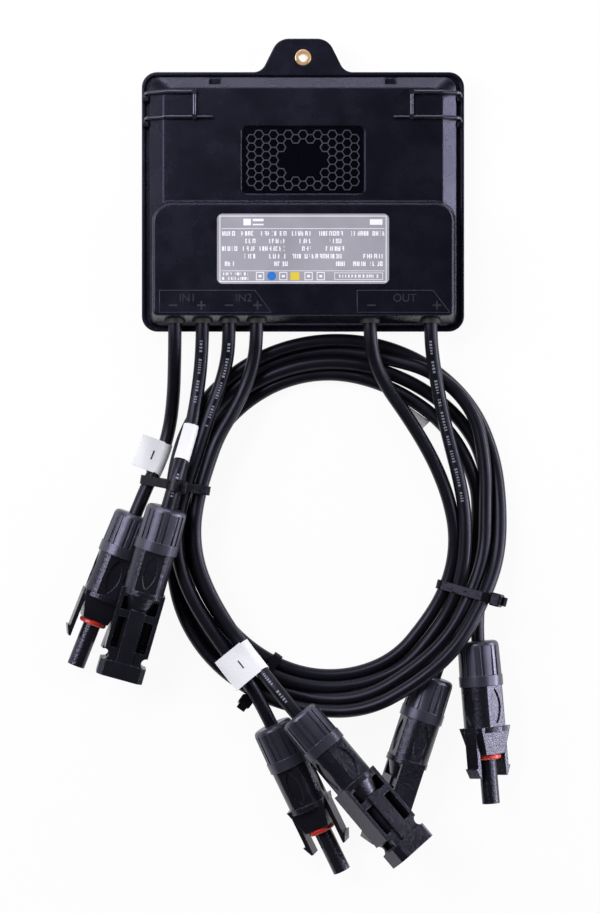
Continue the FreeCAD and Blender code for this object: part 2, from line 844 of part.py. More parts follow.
def pin_contact():
    end = shell_total - pin_setback
    step = shell_total - shell_cavity_depth
    thick = rod(contact_radius, step - contact_start, Vector(contact_start, 0, 0), Vector(1, 0, 0))
    thin = rod(pin_radius, end - contact_start, Vector(contact_start, 0, 0), Vector(1, 0, 0))
    return join([thick, thin])


class Seat:
    """Where a connector lies: its nut's outer end, a point it aims at, and its roll."""

    def __init__(self, kind, top, aim, roll):
        self.kind = kind
        self.top = Vector(*top)
        self.heading = (Vector(*aim) - self.top).normalize()
        turn = Rotation(self.heading, Vector(0, 0, 0), Vector(0, 0, 1), "XZY")
        self.placement = Placement(self.top, turn * Rotation(Vector(1, 0, 0), roll))

    def place(self, shape):
        placed = shape.copy()
        placed.Placement = self.placement.multiply(shape.Placement)
        return placed

    def approach(self):
        """Last two points of the lead: straight in front of the nut, and inside its seal."""
        return [self.top - self.heading * (2 * cord), self.top + self.heading * cord]


seats = {
    "in1_minus": Seat("probe", (-67.2, -131.8, 8.9), (-91.0, -192.2, 8.9), -12),
    "in1_plus": Seat("shell", (-53.6, -128.8, 22.2), (-73.4, -196.8, 18.2), -6),
    "in2_minus": Seat("probe", (-12.6, -215.8, 11.6), (15.0, -273.2, 9.8), 20),
    "in2_plus": Seat("shell", (-2.2, -210.8, 23.6), (43.0, -263.8, 29.8), -35),
    "out_minus": Seat("shell", (52.6, -196.8, 9.6), (31.2, -262.6, 9.6), 72),
    "out_plus": Seat("probe", (70.0, -182.5, 9.1), (75.1, -246.2, 11.8), -42),
}

# Routes of the leads between the wall and the connectors or the ring, chosen by hand
routes = {
    "in1_minus": [(-51.3, -71, 13.0), (-51.9, -83.5, 6.8), (-53.6, -97, 3.2), (-57.2, -109.5, 4.0)],
    "in1_plus": [(-40.7, -72, 13.8), (-42.2, -84, 12.8), (-44.2, -95.5, 14.6), (-47.4, -107, 18.6)],
    "in2_minus": [
        (-30.2, -70, 13.8), (-33.0, -80.5, 11.7), (-37.0, -91, 11.6), (-40.8, -103, 11.6),
        (-45.0, -116, 11.5), (-49.0, -128.5, 11.6), (-50.6, -141, 11.5), (-49.0, -153.5, 11.6),
        (-44.4, -165.5, 11.5), (-37.4, -177, 11.6), (-30.0, -187.5, 12.2), (-23.2, -197, 13.9)],
    "in2_plus": [
        (-19.4, -70, 14.0), (-22.8, -80.5, 11.8), (-28.0, -91, 11.5), (-34.0, -101, 11.6),
        (-38.2, -113, 11.5), (-41.8, -125, 11.6), (-43.6, -137.5, 11.5), (-42.4, -150, 11.6),
        (-38.0, -162, 11.5), (-31.6, -173.5, 11.8), (-24.4, -184, 13.0), (-16.8, -193.4, 17.0)],
    "out_minus": [
        (28.2, -70, 13.9), (33.2, -80.5, 11.7), (41.0, -91.5, 11.6), (48.3, -103, 11.5),
        (54.0, -114.5, 11.6), (57.7, -126.5, 11.5), (59.2, -139, 11.6), (58.2, -151.5, 10.6),
        (54.8, -163.5, 8.0), (48.3, -174.2, 4.9)],
    "out_plus": [
        (51.8, -69.5, 13.6), (54.4, -81, 11.6), (57.6, -93, 11.5), (61.2, -105, 11.6),
        (64.4, -117, 11.5), (66.4, -129.5, 11.6), (66.4, -142, 11.5), (64.2, -154.5, 10.2),
        (59.7, -166.5, 8.0), (53.2, -177.3, 5.0)],
}
tails = {
    "out_minus": [(69.2, -151, 4.6), (66.8, -163, 4.8), (61.9, -174.5, 6.8)],
    "out_plus": [(78.0, -134.5, 4.6), (77.0, -147, 4.9), (73.0, -159.5, 7.0)],
}


def lead_points(name):
    """Route of one lead from its terminal to its nut, or into the ring."""
    x = lead_x[name]
    start = Vector(x, lead_start_y(), lead_height)
    outside = Vector(x, wall_y(lead_height) - cord, lead_height)
    points = [start, outside] + [Vector(*point) for point in routes[name]]
    if name not in tails:
        points += seats[name].approach()
    return points


def tail_points(name):
    return [Vector(*point) for point in tails[name]] + seats[name].approach()


def lead(label, points):
    solid, length, bend = swept(points, cord / 2, lead_radius)
    section = math.pi * cord ** 2 / 4
    ratio = solid.Volume / (section * length)
    print(label, "length", round(length, 1), "smallest radius", round(bend, 1), "fill", round(ratio, 4))
    return solid


def ring_curve(radii):
    points = []
    for index, radius in enumerate(radii):
        turn = math.radians(45 * index)
        points.append(Vector(
            ring_centre[0] + radius * math.cos(turn), ring_centre[1] + radius * math.sin(turn), 0))
    curve = Part.BSplineCurve()
    curve.interpolate(points, PeriodicFlag=True)
    return Part.Wire(curve.toShape())


def tie_frame(middle, across):
    """Placement of a tie: X along the strap's width across the bundle, Z up."""
    heading = Vector(across[0], across[1], 0).normalize()
    turn = Rotation(heading, Vector(0, 0, 0), Vector(0, 0, 1), "XZY")
    return Placement(Vector(middle[0], middle[1], 0), turn)


# Ties: middle of the bundle, direction across it, width across, height, side of the head (0 is on top)
ties = {
    "cable_tie_left": ((-51.4, -120.0), (59, -10), 30.2, 27.6, 0),
    "cable_tie_right": ((65.4, -162.6), (50, -13), 28.8, 14.8, 1),
    "cable_tie_bottom": ((-18.2, -200.2), (28, 39), 20.4, 9.8, -1),
}


def cable_tie(middle, across, width, height, head_side):
    """Closed strap round a bundle, with its head at one side."""
    def loop(inset):
        corner = tie_head[2] / 2 - inset
        outline = rounded_outline(
            width - 2 * inset, inset, height - inset, corner, corner, -tie_width / 2)
        return slab(outline, tie_width)
    strap = loop(0).cut(loop(tie_thick))
    length, depth, rise = tie_head
    if head_side:
        foot = head_side * (width / 2 - tie_thick)
        low, high = sorted((foot, foot + head_side * rise))
        head = block(low, high, (height - length) / 2, (height + length) / 2, -depth / 2, depth / 2)
    else:
        middle_x = tie_top_head_share * width
        foot = height - tie_thick
        head = block(
            middle_x - length / 2, middle_x + length / 2, foot, foot + rise, -depth / 2, depth / 2)
    slot = block(
        -width / 2 + tie_thick, width / 2 - tie_thick, tie_thick, height - tie_thick, -depth, depth)
    strap = strap.fuse(head.cut(slot)).removeSplitter()
    strap.rotate(Vector(0, 0, 0), Vector(1, 0, 0), 90)
    strap.Placement = tie_frame(middle, across).multiply(strap.Placement)
    return strap


def tie_notch(middle, across, width, height, head_side):
    """Room for a tie in the bundle that it binds."""
    solid = slab(rounded_outline(
        width + 2 * tie_head[2], -tie_thick, height + tie_thick, seat_play, seat_play, -tie_head[1] / 2),
        tie_head[1])
    core = slab(rounded_outline(
        width - 2 * tie_thick - seat_play, tie_thick + seat_play, height - tie_thick - seat_play,
        tie_head[2] / 2 - tie_thick, tie_head[2] / 2 - tie_thick, -tie_head[1]), 2 * tie_head[1])
    notch = solid.cut(core)
    notch.rotate(Vector(0, 0, 0), Vector(1, 0, 0), 90)
    notch.Placement = tie_frame(middle, across).multiply(notch.Placement)
    return notch


def lead_ring():
    """Outer shape of the two wound leads, relieved where ties and nuts press into it."""
    band = Part.Face(ring_curve(ring_outer)).cut(Part.Face(ring_curve(ring_inner)))
    ring = band.extrude(Vector(0, 0, ring_height))
    top_edges = [edge for edge in ring.Edges if edge.BoundBox.ZMin > ring_height - 0.01]
    ring = ring.makeChamfer(ring_edge, top_edges)
    cuts = [tie_notch(*tie) for tie in ties.values()]
    for name in ("out_minus", "out_plus"):
        room = rod(nut_rim / 2 + 2 * seat_play, nut_length * 2, Vector(0, 0, 0), Vector(1, 0, 0))
        cuts.append(seats[name].place(room))
    return ring.cut(Part.makeCompound(cuts))


# Flags: the lead that each is wrapped on, how far along it, its length, and its leaf's reach (left is minus)
flags = {
    "flag_in1_minus": ("in1_minus", 58.6, 13.2, -8.4),
    "flag_in1_plus": ("in1_plus", 52.4, 13.6, 0.0),
    "flag_in2_plus": ("in2_plus", 150.0, 14.6, -9.6),
    "flag_out_minus": ("out_minus", 44.5, 11.0, 7.6),
}


def flag(name, station, length, leaf):
    """Film sleeve round a lead, and its leaf."""
    path = rounded_path(lead_points(name), lead_radius)[0]
    line = path.discretize(Distance=length / 10)
    middle = round(station / (length / 10))
    first, centre, last = line[middle - 5], line[middle], line[middle + 5]
    inner = cord / 2 + flag_play
    outer = inner + flag_thick
    start = Vector(-length / 2, 0, 0)
    along = Vector(1, 0, 0)
    pieces = [rod(outer, length, start, along)]
    if leaf:
        near, far = sorted((0, leaf + math.copysign(outer, leaf)))
        pieces.append(block(-length / 2, length / 2, near, far, outer - flag_thick, outer))
    sleeve = join(pieces).cut(rod(inner, length, start, along))
    turn = Rotation((last - first).normalize(), Vector(0, 0, 0), Vector(0, 0, 1), "XZY")
    sleeve.Placement = Placement((first + centre * 2 + last) / 4, turn)
    print(name, "flag at", [round(value, 1) for value in sleeve.Placement.Base])
    return sleeve


def main():
    os.makedirs("parts", exist_ok=True)
    save("rear_tray", rear_tray())
    save("tab_bushing", tab_bushing())
    save("cover_gasket", gasket())
    save("front_cover", front_cover())
    save("rating_label", rating_label())
    save("wire_clip_left", wire_clip(-1))
    save("wire_clip_right", wire_clip(1))
    save("circuit_board", circuit_board())
    save("heat_spreader", heat_spreader())
    save("inductors", inductors())
    save("capacitors", capacitors())
    save("transistors", transistors())
    save("lead_terminals", lead_terminals())
    save("lead_grommets", lead_grommets())

    nut = gland_nut()
    seal = gland_seal()
    bodies = {"probe": probe_body(), "shell": shell_body()}
    contacts = {"probe": socket_contact(), "shell": pin_contact()}
    for name, seat in seats.items():
        save("gland_nut_" + name, seat.place(nut))
        save("gland_seal_" + name, seat.place(seal))
        save("connector_body_" + name, seat.place(bodies[seat.kind]))
        save("contact_" + name, seat.place(contacts[seat.kind]))
        if seat.kind == "probe":
            save("sealing_ring_" + name, seat.place(sealing_ring()))

    for name in lead_x:
        ending = "_start" if name in tails else ""
        save("lead_" + name + ending, lead(name, lead_points(name)))
    for name in tails:
        save("lead_" + name + "_end", lead(name + " end", tail_points(name)))
    save("lead_ring", lead_ring())
    for name, placing in flags.items():
        save(name, flag(*placing))
    for name, placing in ties.items():
        save(name, cable_tie(*placing))


main()
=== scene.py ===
import math
import random

import bmesh
import bpy
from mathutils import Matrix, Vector


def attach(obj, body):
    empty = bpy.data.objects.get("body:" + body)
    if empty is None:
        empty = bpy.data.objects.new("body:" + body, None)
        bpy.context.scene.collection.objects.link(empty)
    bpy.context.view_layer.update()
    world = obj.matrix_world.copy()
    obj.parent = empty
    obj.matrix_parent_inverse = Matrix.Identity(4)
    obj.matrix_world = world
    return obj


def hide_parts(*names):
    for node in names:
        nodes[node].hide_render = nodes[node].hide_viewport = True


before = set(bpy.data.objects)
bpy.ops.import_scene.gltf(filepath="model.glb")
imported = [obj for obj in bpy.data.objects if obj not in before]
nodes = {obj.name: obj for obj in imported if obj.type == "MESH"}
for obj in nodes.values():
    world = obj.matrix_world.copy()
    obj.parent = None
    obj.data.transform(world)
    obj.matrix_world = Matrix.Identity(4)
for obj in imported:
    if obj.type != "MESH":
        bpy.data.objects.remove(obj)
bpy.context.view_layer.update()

# Values here are millimetres and degrees in the part's own frame, and become metres where they are used
mm = 0.001

# Camera: straight above the object, with the housing's tab at the top of the picture. The picture's
# height is measured at the level of the leads
camera_height = 1150.0
picture_centre = (-1.2, -108.6)
picture_height = 365.2
picture_level = 11.0
sensor = 36.0

# Leads: their places in the housing's wall
cord = 5.4
lead_height = 16.5
inner_end_y = -50.2
outside_y = -60.0
lead_x = {
    "in1_minus": -51.0, "in1_plus": -40.0, "in2_minus": -29.4, "in2_plus": -18.4,
    "out_minus": 26.6, "out_plus": 50.8,
}

# Nut end and aim of each connector
seats = {
    "in1_minus": ((-67.2, -131.8, 8.9), (-91.0, -192.2, 8.9)),
    "in1_plus": ((-53.6, -128.8, 22.2), (-73.4, -196.8, 18.2)),
    "in2_minus": ((-12.6, -215.8, 11.6), (15.0, -273.2, 9.8)),
    "in2_plus": ((-2.2, -210.8, 23.6), (43.0, -263.8, 29.8)),
    "out_minus": ((52.6, -196.8, 9.6), (31.2, -262.6, 9.6)),
    "out_plus": ((70.0, -182.5, 9.1), (75.1, -246.2, 11.8)),
}

# Routes of the leads, as control points between the wall and the nut or the ring
routes = {
    "in1_minus": [(-51.3, -71, 13.0), (-51.9, -83.5, 6.8), (-53.6, -97, 3.2), (-57.2, -109.5, 4.0)],
    "in1_plus": [(-40.7, -72, 13.8), (-42.2, -84, 12.8), (-44.2, -95.5, 14.6), (-47.4, -107, 18.6)],
    "in2_minus": [
        (-30.2, -70, 13.8), (-33.0, -80.5, 12.6), (-37.0, -91, 13.4), (-40.8, -103, 13.8),
        (-45.0, -116, 13.9), (-49.0, -128.5, 13.9), (-50.6, -141, 13.9), (-49.0, -153.5, 13.8),
        (-44.4, -165.5, 13.4), (-37.4, -177, 12.8), (-30.0, -187.5, 12.6), (-23.2, -197, 13.9)],
    "in2_plus": [
        (-19.4, -70, 14.0), (-22.8, -80.5, 12.6), (-28.0, -91, 13.3), (-34.0, -101, 13.7),
        (-38.2, -113, 13.9), (-41.8, -125, 13.9), (-43.6, -137.5, 13.9), (-42.4, -150, 13.8),
        (-38.0, -162, 13.4), (-31.6, -173.5, 12.8), (-24.4, -184, 13.3), (-16.8, -193.4, 17.0)],
    "out_minus": [
        (28.2, -70, 13.9), (33.2, -80.5, 11.7), (41.0, -91.5, 11.6), (48.3, -103, 11.5),
        (54.2, -114.5, 11.6), (58.6, -126.5, 11.0), (61.1, -139, 9.8), (60.3, -151.5, 8.4),
        (56.4, -163.7, 6.8), (49.9, -174.7, 4.8)],
    "out_plus": [
        (51.8, -69.5, 13.6), (53.8, -81, 11.6), (56.2, -93, 11.5), (59.2, -105, 11.6),
        (62.3, -117, 11.9), (64.6, -129.5, 12.2), (65.0, -142, 12.0), (63.8, -154.5, 11.0),
        (60.5, -166.8, 9.4), (54.1, -177.8, 7.0)],
}
tails = {
    "out_minus": [(66.6, -163, 2.9), (61.5, -175.5, 4.2)],
    "out_plus": [(76.4, -147, 2.7), (73.4, -159.5, 3.6)],
}

# Ring of the two OUT leads: its middle, and its radii every 45 degrees from +X
ring_centre = (12.8, -135.6)
ring_outer = (68.2, 75.2, 75.9, 74.2, 69.6, 75.8, 77.2, 74.4)
ring_inner = (44.8, 51.2, 57.2, 56.8, 53.8, 56.4, 58.4, 52.4)

# Each lead in the ring: the angle of its way in, how far it goes round clockwise, its place in the pair,
# and what it does in the stretches below
winding = {
    "out_minus": {
        "start": -47.4, "travel": 676, "pair": 0, "over_tails": (225, 262, 385, 432),
        "nut_rise": 6.0, "tuck": 3.2, "last_rise": 3.4, "push": 0.9},
    "out_plus": {
        "start": -45.9, "travel": 662, "pair": 1, "over_tails": (285, 322, 385, 432),
        "nut_rise": 12.5, "tuck": 3.9, "last_rise": 0.0, "push": 0.0},
}
turn_step = 17.0
end_room = 0.6

# A spline of order 3 runs inside a ring of control points by this factor
spline_pull = 0.983

# Stretches of the way round the ring, in degrees gone since the way in. Two values are where something
# starts and is full, and four also where it begins to end and is over. The first two recur in each turn
left_side = (62, 98, 168, 205)
turns_cross = (95, 175)
second_turn = 313
first_turn_out = (130, 140)
second_turn_in = (490, 500)
second_turn_out = (585, 690)
over_nuts = (330, 356, 376, 418)
tucked = (322, 346, 374, 392)
pushed = (235, 262, 275, 300)
last_lift = (604, 628, 650, 672)
way_in = (0, 60)
way_in_rise = 1.6

# Cable ties: middle, direction across the bundle, half the width and the height that are searched for
# leads, and where the head sits, as a direction across and upwards. The clearance is from the floor
ties = {
    "cable_tie_left": ((-51.4, -120.0), (59, -10), 15.5, 30.0, (0.35, 1.0)),
    "cable_tie_right": ((65.2, -162.6), (50, -13), 14.5, 30.0, (1.0, 0.4)),
    "cable_tie_bottom": ((-18.2, -200.2), (28, 39), 13.5, 10.0, (-1.0, 0.1)),
}
tie_width = 3.6
tie_thick = 1.1
tie_gap = 0.05
tie_clearance = {"inner": 0.1, "outer": 0.02}

# Blocks of a tie's head: place outwards and sideways from the strap, sizes outwards, sideways and along
# the leads, and how much of each corner is cut
tie_head = [
    (2.1, 0.0, (4.2, 5.6, 5.2), 0.5),
    (4.9, 0.9, (2.4, tie_thick, tie_width), 0.2),
    (3.9, -1.3, (1.2, 1.5, 3.4), 0.2),
]

# Where the ring is lifted to make room for the straps: angles, reach to either side, and play
tie_angles = (167.0, -25.5, -115.6)
tie_reach = (5, 24)
tie_play = 0.2

# Flags: the lead, the middle of the film along it, its length, and its leaf's reach to the left
flags = {
    "flag_in1_minus": ("in1_minus", (-57.5, -109.4, 4.0), 13.4, 6.4),
    "flag_in1_plus": ("in1_plus", (-46.4, -103.4, 16.9), 15.2, 0.0),
    "flag_in2_plus": ("in2_plus", (-20.3, -189.0, 15.3), 14.6, 9.6),
}
wrap_gap = 0.08
wrap_thick = 0.32
leaf_thick = 0.24
leaf_columns = 7
flag_rows = 9

# A leaf droops towards its end, and waves across and along its lead
leaf_droop = 0.7
leaf_wave = 0.25
wave_across = 3.1
wave_along = 0.25

# Bar printed on a leaf: half its length and width, its height over the wrap, and its under and upper side
flag_bar = (1.9, 0.3)
bar_lift = 0.14
bar_levels = (-0.12, 0.06)

# Flag whose leaf hangs from the underside of OUT minus, below the ring: its corners, rows and sag
hung_leaf = [(47.7, -97.6, 9.4), (51.1, -94.5, 3.4), (40.0, -86.5, 4.0), (38.8, -88.7, 9.0)]
hung_rows = 6
hung_sag = 0.8

# Runs of small print on the leads: the lead, from, to, and how far round from the top
print_runs = [
    ("in1_plus", 12, 40, -6), ("in1_plus", 68, 77, 8), ("in2_minus", 13, 48, 6), ("in2_plus", 159, 173, 0),
    ("out_plus", 12, 80, -10),
]
print_lift = 0.03

# Groups of dashes: least and most dashes, their lengths and half widths round the lead in degrees, the
# gap after each, and the gaps between groups
dash_counts = (3, 8)
dash_lengths = (0.35, 0.8)
dash_half_turns = (9, 13)
dash_gap = 0.6
group_gaps = (1.4, 2.6)

# Raised marks on the lead box: two frames, and the words and signs inside them
frame_top, frame_low = -42.9, -51.6
mark_frames = {
    "in_frame": [(-56.8, frame_top), (-19.0, frame_top), (-12.6, frame_low), (-56.8, frame_low)],
    "out_frame": [(21.4, frame_top), (51.4, frame_top), (58.0, frame_low), (21.4, frame_low)],
}
mark_words = [("word_in_one", "IN1", -45.7), ("word_in_two", "IN2", -23.5), ("word_out", "OUT", 40.2)]
word_y = -46.0
word_size = 4.4
word_half_thick = 0.12
word_lift = 0.06
line_radius = 0.2
line_lift = 0.02
minus_x = (-51.4, -29.2, 27.0)
plus_x = (-40.2, -18.0, 53.0)
sign_y = -48.8
sign_arm = 1.7
sign_half = 0.3
sign_levels = (-0.05, 0.2)

# Print on the rating label: its frame, its two rules, and its words in rows, each with start and width
label_frame = (-33.0, 33.0, -39.6, -13.4)
label_line = 0.3
rule_inset = 0.8
rule_half = 0.1
rules_y = (-18.5, -35.2)
label_rows = [
    (-20.4, [(-32, 5.0), (-24.4, 5.4), (-16.6, 10.0), (-4.4, 8.2), (6.4, 9.4), (18.6, 7.6), (27.4, 5.0)]),
    (-23.4, [(-22.8, 4.2), (-13.4, 6.8), (-1.4, 5.6), (9.0, 7.0)]),
    (-26.4, [(-32, 6.8), (-23.8, 4.8), (-17.2, 10.6), (-0.4, 4.4), (9.0, 7.0)]),
    (-29.4, [(-23.6, 4.8), (-13.4, 6.8), (-4.6, 4.2), (0.6, 14.6), (23.8, 8.4)]),
    (-32.4, [(-32, 5.4), (-11.4, 5.2), (12.6, 5.0), (19.8, 12.4)]),
]

# Above the words: blocks, each from and to in x and in y. Below them: two small rows, a disc, a yellow
# field and four framed symbols, each with a dot, and a framed last row. A row is from, to and its height
header_blocks = [
    (-23.6, -20.6, -17.2, -14.6), (-19.9, -15.6, -15.6, -14.6), (-19.9, -15.6, -17.2, -16.6),
    (26.4, 31.4, -17.0, -14.8),
]
small_rows = [(-32.0, -21.6, -36.4), (-32.0, -21.6, -38.2)]
last_row = (13.8, 30.0, -37.3)
symbols_x = (-18.6, -9.4, 0.6, 5.4)
symbol_size = 3.2
symbol_y = (-38.9, -35.7)
symbol_dot = (1.0, 2.2, -37.8, -36.8)
last_frame = (12.4, 31.6, -38.7, -35.9)
last_line = 0.2
disc_middle = (-12.4, -37.2)
disc_radius = 1.75
yellow_field = (-5.0, -1.4, -38.9, -35.7)
print_half = 0.03

# Figures in the label's words, its small rows and its last row: half their height, the widths they may
# have, and the gap after each. A word may end short by its slack
stroke = 0.4
word_figures = (0.9, (0.8, 1.05, 1.2), 0.28)
small_figures = (0.55, (0.6, 0.8), 0.24)
last_figures = (0.6, (0.8, 1.0, 1.15), 0.34)
word_slack = 0.6

# Honeycomb panel in the cover: middle, half sizes, and soft edge of its ribs. Its crests and its ground are
# each a height,
# a reach from it, and a colour: the crests' paler colour is a painted highlight, the ground's near-black a
# painted shade
panel_middle = (0.0, 9.4)
panel_half = (24.3, 13.3)
panel_edge = 0.15
# Painted highlight on the rib crests, and painted shade on the ground between the ribs
crest_highlight = (16.42, 0.1, (0.048, 0.048, 0.066))
ground_shade = (15.9, 0.35, (0.0010, 0.0010, 0.0022))
ground_rough = 0.12

# Surfaces: the material's name, and what moulded takes. The bluish tint of the plastics' gloss is painted:
# it puts the lamps' lavender light into their reflections
lavender_light_tint = (0.74, 0.72, 1.0)
# Stronger painted tint of the lamps' lavender light, in the gloss of the housing and the cover
blue = (0.64, 0.63, 1.0)
black_plastic = dict(
    dark=(0.0028, 0.0028, 0.0056), light=(0.0046, 0.0046, 0.0088), rough=0.26, grain=2600, depth=0.3,
    specular=0.38, tint=blue)
surfaces = {
    "housing": ("housing plastic", dict(black_plastic, edge=0.8)),
    "cover": ("cover plastic", dict(black_plastic, edge=0.9)),
    "nut": ("nut plastic", dict(
        dark=(0.019, 0.019, 0.028), light=(0.028, 0.028, 0.040), rough=0.32, grain=1900, depth=0.16,
        specular=0.85, edge=0.3, tint=lavender_light_tint)),
    "body": ("connector plastic", dict(
        dark=(0.0045, 0.0045, 0.0068), light=(0.0095, 0.0095, 0.0132), rough=0.25, grain=1000, depth=0.8,
        specular=0.55, edge=0.4, tint=lavender_light_tint)),
    "lead": ("lead jacket", dict(
        dark=(0.0028, 0.0028, 0.0046), light=(0.0046, 0.0046, 0.0070), rough=0.36, grain=900, depth=0.05,
        specular=0.28, tint=lavender_light_tint)),
    "rubber": ("black rubber", dict(
        dark=(0.010, 0.010, 0.011), light=(0.015, 0.015, 0.017), rough=0.6, grain=1300, depth=0.1)),
    "red": ("red rubber", dict(
        dark=(0.42, 0.015, 0.008), light=(0.62, 0.035, 0.018), rough=0.35, grain=1200, depth=0.05,
        specular=0.5)),
    "wire": ("coated wire", dict(
        dark=(0.0035, 0.0035, 0.006), light=(0.007, 0.007, 0.011), rough=0.24, grain=1400, depth=0.12,
        specular=0.9, tint=lavender_light_tint)),
    "brass": ("brass", dict(
        dark=(0.70, 0.42, 0.20), light=(0.95, 0.70, 0.42), rough=0.26, grain=1800, depth=0.12,
        specular=0.5, metallic=0.7, edge=0.6)),
    "tin": ("tinned metal", dict(
        dark=(0.55, 0.54, 0.52), light=(0.7, 0.69, 0.67), rough=0.28, grain=1800, depth=0.08,
        specular=0.5, metallic=1.0)),
    "aluminium": ("aluminium", dict(
        dark=(0.5, 0.51, 0.52), light=(0.64, 0.65, 0.66), rough=0.38, grain=1200, depth=0.1,
        specular=0.5, metallic=1.0)),
    "board": ("board laminate", dict(
        dark=(0.012, 0.10, 0.04), light=(0.02, 0.15, 0.06), rough=0.35, grain=700, depth=0.1)),
    "ferrite": ("ferrite", dict(
        dark=(0.03, 0.03, 0.034), light=(0.05, 0.05, 0.055), rough=0.6, grain=800, depth=0.3)),
    "device": ("device plastic", dict(
        dark=(0.012, 0.012, 0.012), light=(0.02, 0.02, 0.02), rough=0.5, grain=1500, depth=0.2)),
    "tie": ("tie nylon", dict(
        dark=(0.004, 0.004, 0.006), light=(0.007, 0.007, 0.010), rough=0.16, grain=170, depth=1.0,
        specular=0.09, edge=0.25, tint=lavender_light_tint)),
    "flag": ("flag film", dict(
        dark=(0.66, 0.66, 0.69), light=(0.73, 0.73, 0.76), rough=0.42, grain=600, depth=0.05)),
    "ink": ("black ink", dict(
        dark=(0.012, 0.012, 0.014), light=(0.02, 0.02, 0.022), rough=0.5, grain=900, depth=0.05)),
    "label": ("silver film", dict(
        dark=(0.32, 0.305, 0.36), light=(0.40, 0.385, 0.44), rough=0.42, grain=1500, depth=0.12,
        specular=0.5, metallic=0.25)),
    "print": ("pale print", dict(
        dark=(0.78, 0.78, 0.82), light=(0.88, 0.88, 0.92), rough=0.5, grain=900, depth=0.04)),
    # Raised marks are moulded in the cover's black plastic; their lighter colour is a painted highlight of
    # their raised edges
    "mark": ("raised mark painted highlight", dict(
        dark=(0.020, 0.020, 0.030), light=(0.032, 0.032, 0.044), rough=0.36, grain=1800, depth=0.1,
        tint=lavender_light_tint)),
    "blue": ("blue print", dict(
        dark=(0.012, 0.13, 0.50), light=(0.02, 0.17, 0.60), rough=0.5, grain=900, depth=0.04)),
    "yellow": ("yellow print", dict(
        dark=(0.62, 0.47, 0.03), light=(0.74, 0.57, 0.05), rough=0.5, grain=900, depth=0.04)),
    "cable_print": ("cable print", dict(
        dark=(0.16, 0.17, 0.22), light=(0.26, 0.27, 0.33), rough=0.5, grain=900, depth=0.04)),
}
noise_middle = (0.3, 0.7)
cloud_scale = 38.0
smear_scale = 90.0
gloss_spread = 0.06
grain_height = 0.2

# Surface of each CAD node, by its name or by how its name starts
node_surfaces = {
    "rear_tray": "housing", "front_cover": "cover", "tab_bushing": "brass", "cover_gasket": "rubber",
    "rating_label": "label", "wire_clip_left": "wire", "wire_clip_right": "wire",
    "circuit_board": "board", "heat_spreader": "aluminium", "inductors": "ferrite",
    "capacitors": "aluminium", "transistors": "device", "lead_terminals": "tin",
    "lead_grommets": "rubber", "lead_ring": "lead",
}
start_surfaces = {
    "gland_nut": "nut", "gland_seal": "rubber", "connector_body": "body", "contact": "tin",
    "sealing_ring": "red", "lead_": "lead", "flag_": "flag", "cable_tie": "tie",
}

# Studio, in metres and watts: each lamp's place, width, height, power and colour, and what they aim at
soft_white = (0.97, 0.97, 1.0)
low_white = (0.95, 0.95, 1.0)
lamps = {
    "left softbox": ((-0.60, 0.12, 0.62), 0.35, 0.6, 5.4, soft_white),
    "upper left softbox": ((-0.27, 0.27, 0.62), 0.2, 0.2, 1.4, soft_white),
    "right softbox": ((0.95, -0.1, 0.58), 0.34, 0.9, 5.0, soft_white),
    "rear softbox": ((0.0, 0.74, 0.86), 0.7, 0.3, 3.0, soft_white),
    "low right strip": ((1.1, 0.0, 0.1), 1.2, 0.16, 13.0, low_white),
    "low front strip": ((0.1, -1.15, 0.14), 1.2, 0.14, 3.0, low_white),
    "low rear strip": ((0.0, 1.15, 0.14), 1.2, 0.14, 7.0, low_white),
    "low left strip": ((-1.1, 0.0, 0.12), 1.2, 0.14, 1.0, low_white),
}
lamp_aim = (0.0, -0.1, 0.0)
world_colour = (0.93, 0.94, 1.0)
world_strength = 0.06
floor_half = 4.0
floor_drop = 0.0002
floor_colour = (0.86, 0.86, 0.88)
floor_glow = 0.93

# Sockets of a Mix node that share a name, by number
value_a, value_b, colour_a, colour_b = 2, 3, 6, 7


def top_of(node):
    """Height of a CAD node's top, in millimetres."""
    piece = nodes[node]
    return max((piece.matrix_world @ vertex.co).z for vertex in piece.data.vertices) / mm


def smooth(value, low, high):
    """Rises from 0 to 1 between two values."""
    t = min(max((value - low) / (high - low), 0.0), 1.0)
    return t * t * (3 - 2 * t)


def swell(value, low, full, end, over):
    """Rises from 0 to 1, holds, and falls to 0 again."""
    return smooth(value, low, full) * (1 - smooth(value, end, over))


def around(radii, angle):
    """Radius at an angle, run smoothly through the eight given ones."""
    place = (angle % 360) / 45
    index = int(place)
    t = place - index
    a, b, c, d = (radii[(index + k) % 8] for k in (-1, 0, 1, 2))
    return b + 0.5 * t * (c - a + t * (2 * a - 5 * b + 4 * c - d + t * (3 * (b - c) + d - a)))


def add_object(name, data):
    piece = bpy.data.objects.new(name, data)
    bpy.context.scene.collection.objects.link(piece)
    return piece


def dress(piece, material):
    piece.data.materials.clear()
    piece.data.materials.append(material)


def fix(piece, material):
    """Dresses a piece and lets it ride on the housing."""
    dress(piece, material)
    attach(piece, "housing")
    return piece


def mesh_piece(name, vertices, faces, material, closed=True):
    """New mesh of points in millimetres."""
    mesh = bpy.data.meshes.new(name)
    mesh.from_pydata([[value * mm for value in vertex] for vertex in vertices], [], faces)
    if closed:
        shape = bmesh.new()
        shape.from_mesh(mesh)
        bmesh.ops.recalc_face_normals(shape, faces=shape.faces)
        shape.to_mesh(mesh)
        shape.free()
    mesh.update()
    return fix(add_object(name, mesh), material)


# Camera and leads
def make_camera():
    data = bpy.data.cameras.new("camera")
    data.sensor_width = sensor
    data.lens = sensor * (camera_height - picture_level) / picture_height
    data.clip_start = 0.05
    data.clip_end = 20
    camera = add_object("camera", data)
    camera.location = (picture_centre[0] * mm, picture_centre[1] * mm, camera_height * mm)
    bpy.context.scene.camera = camera


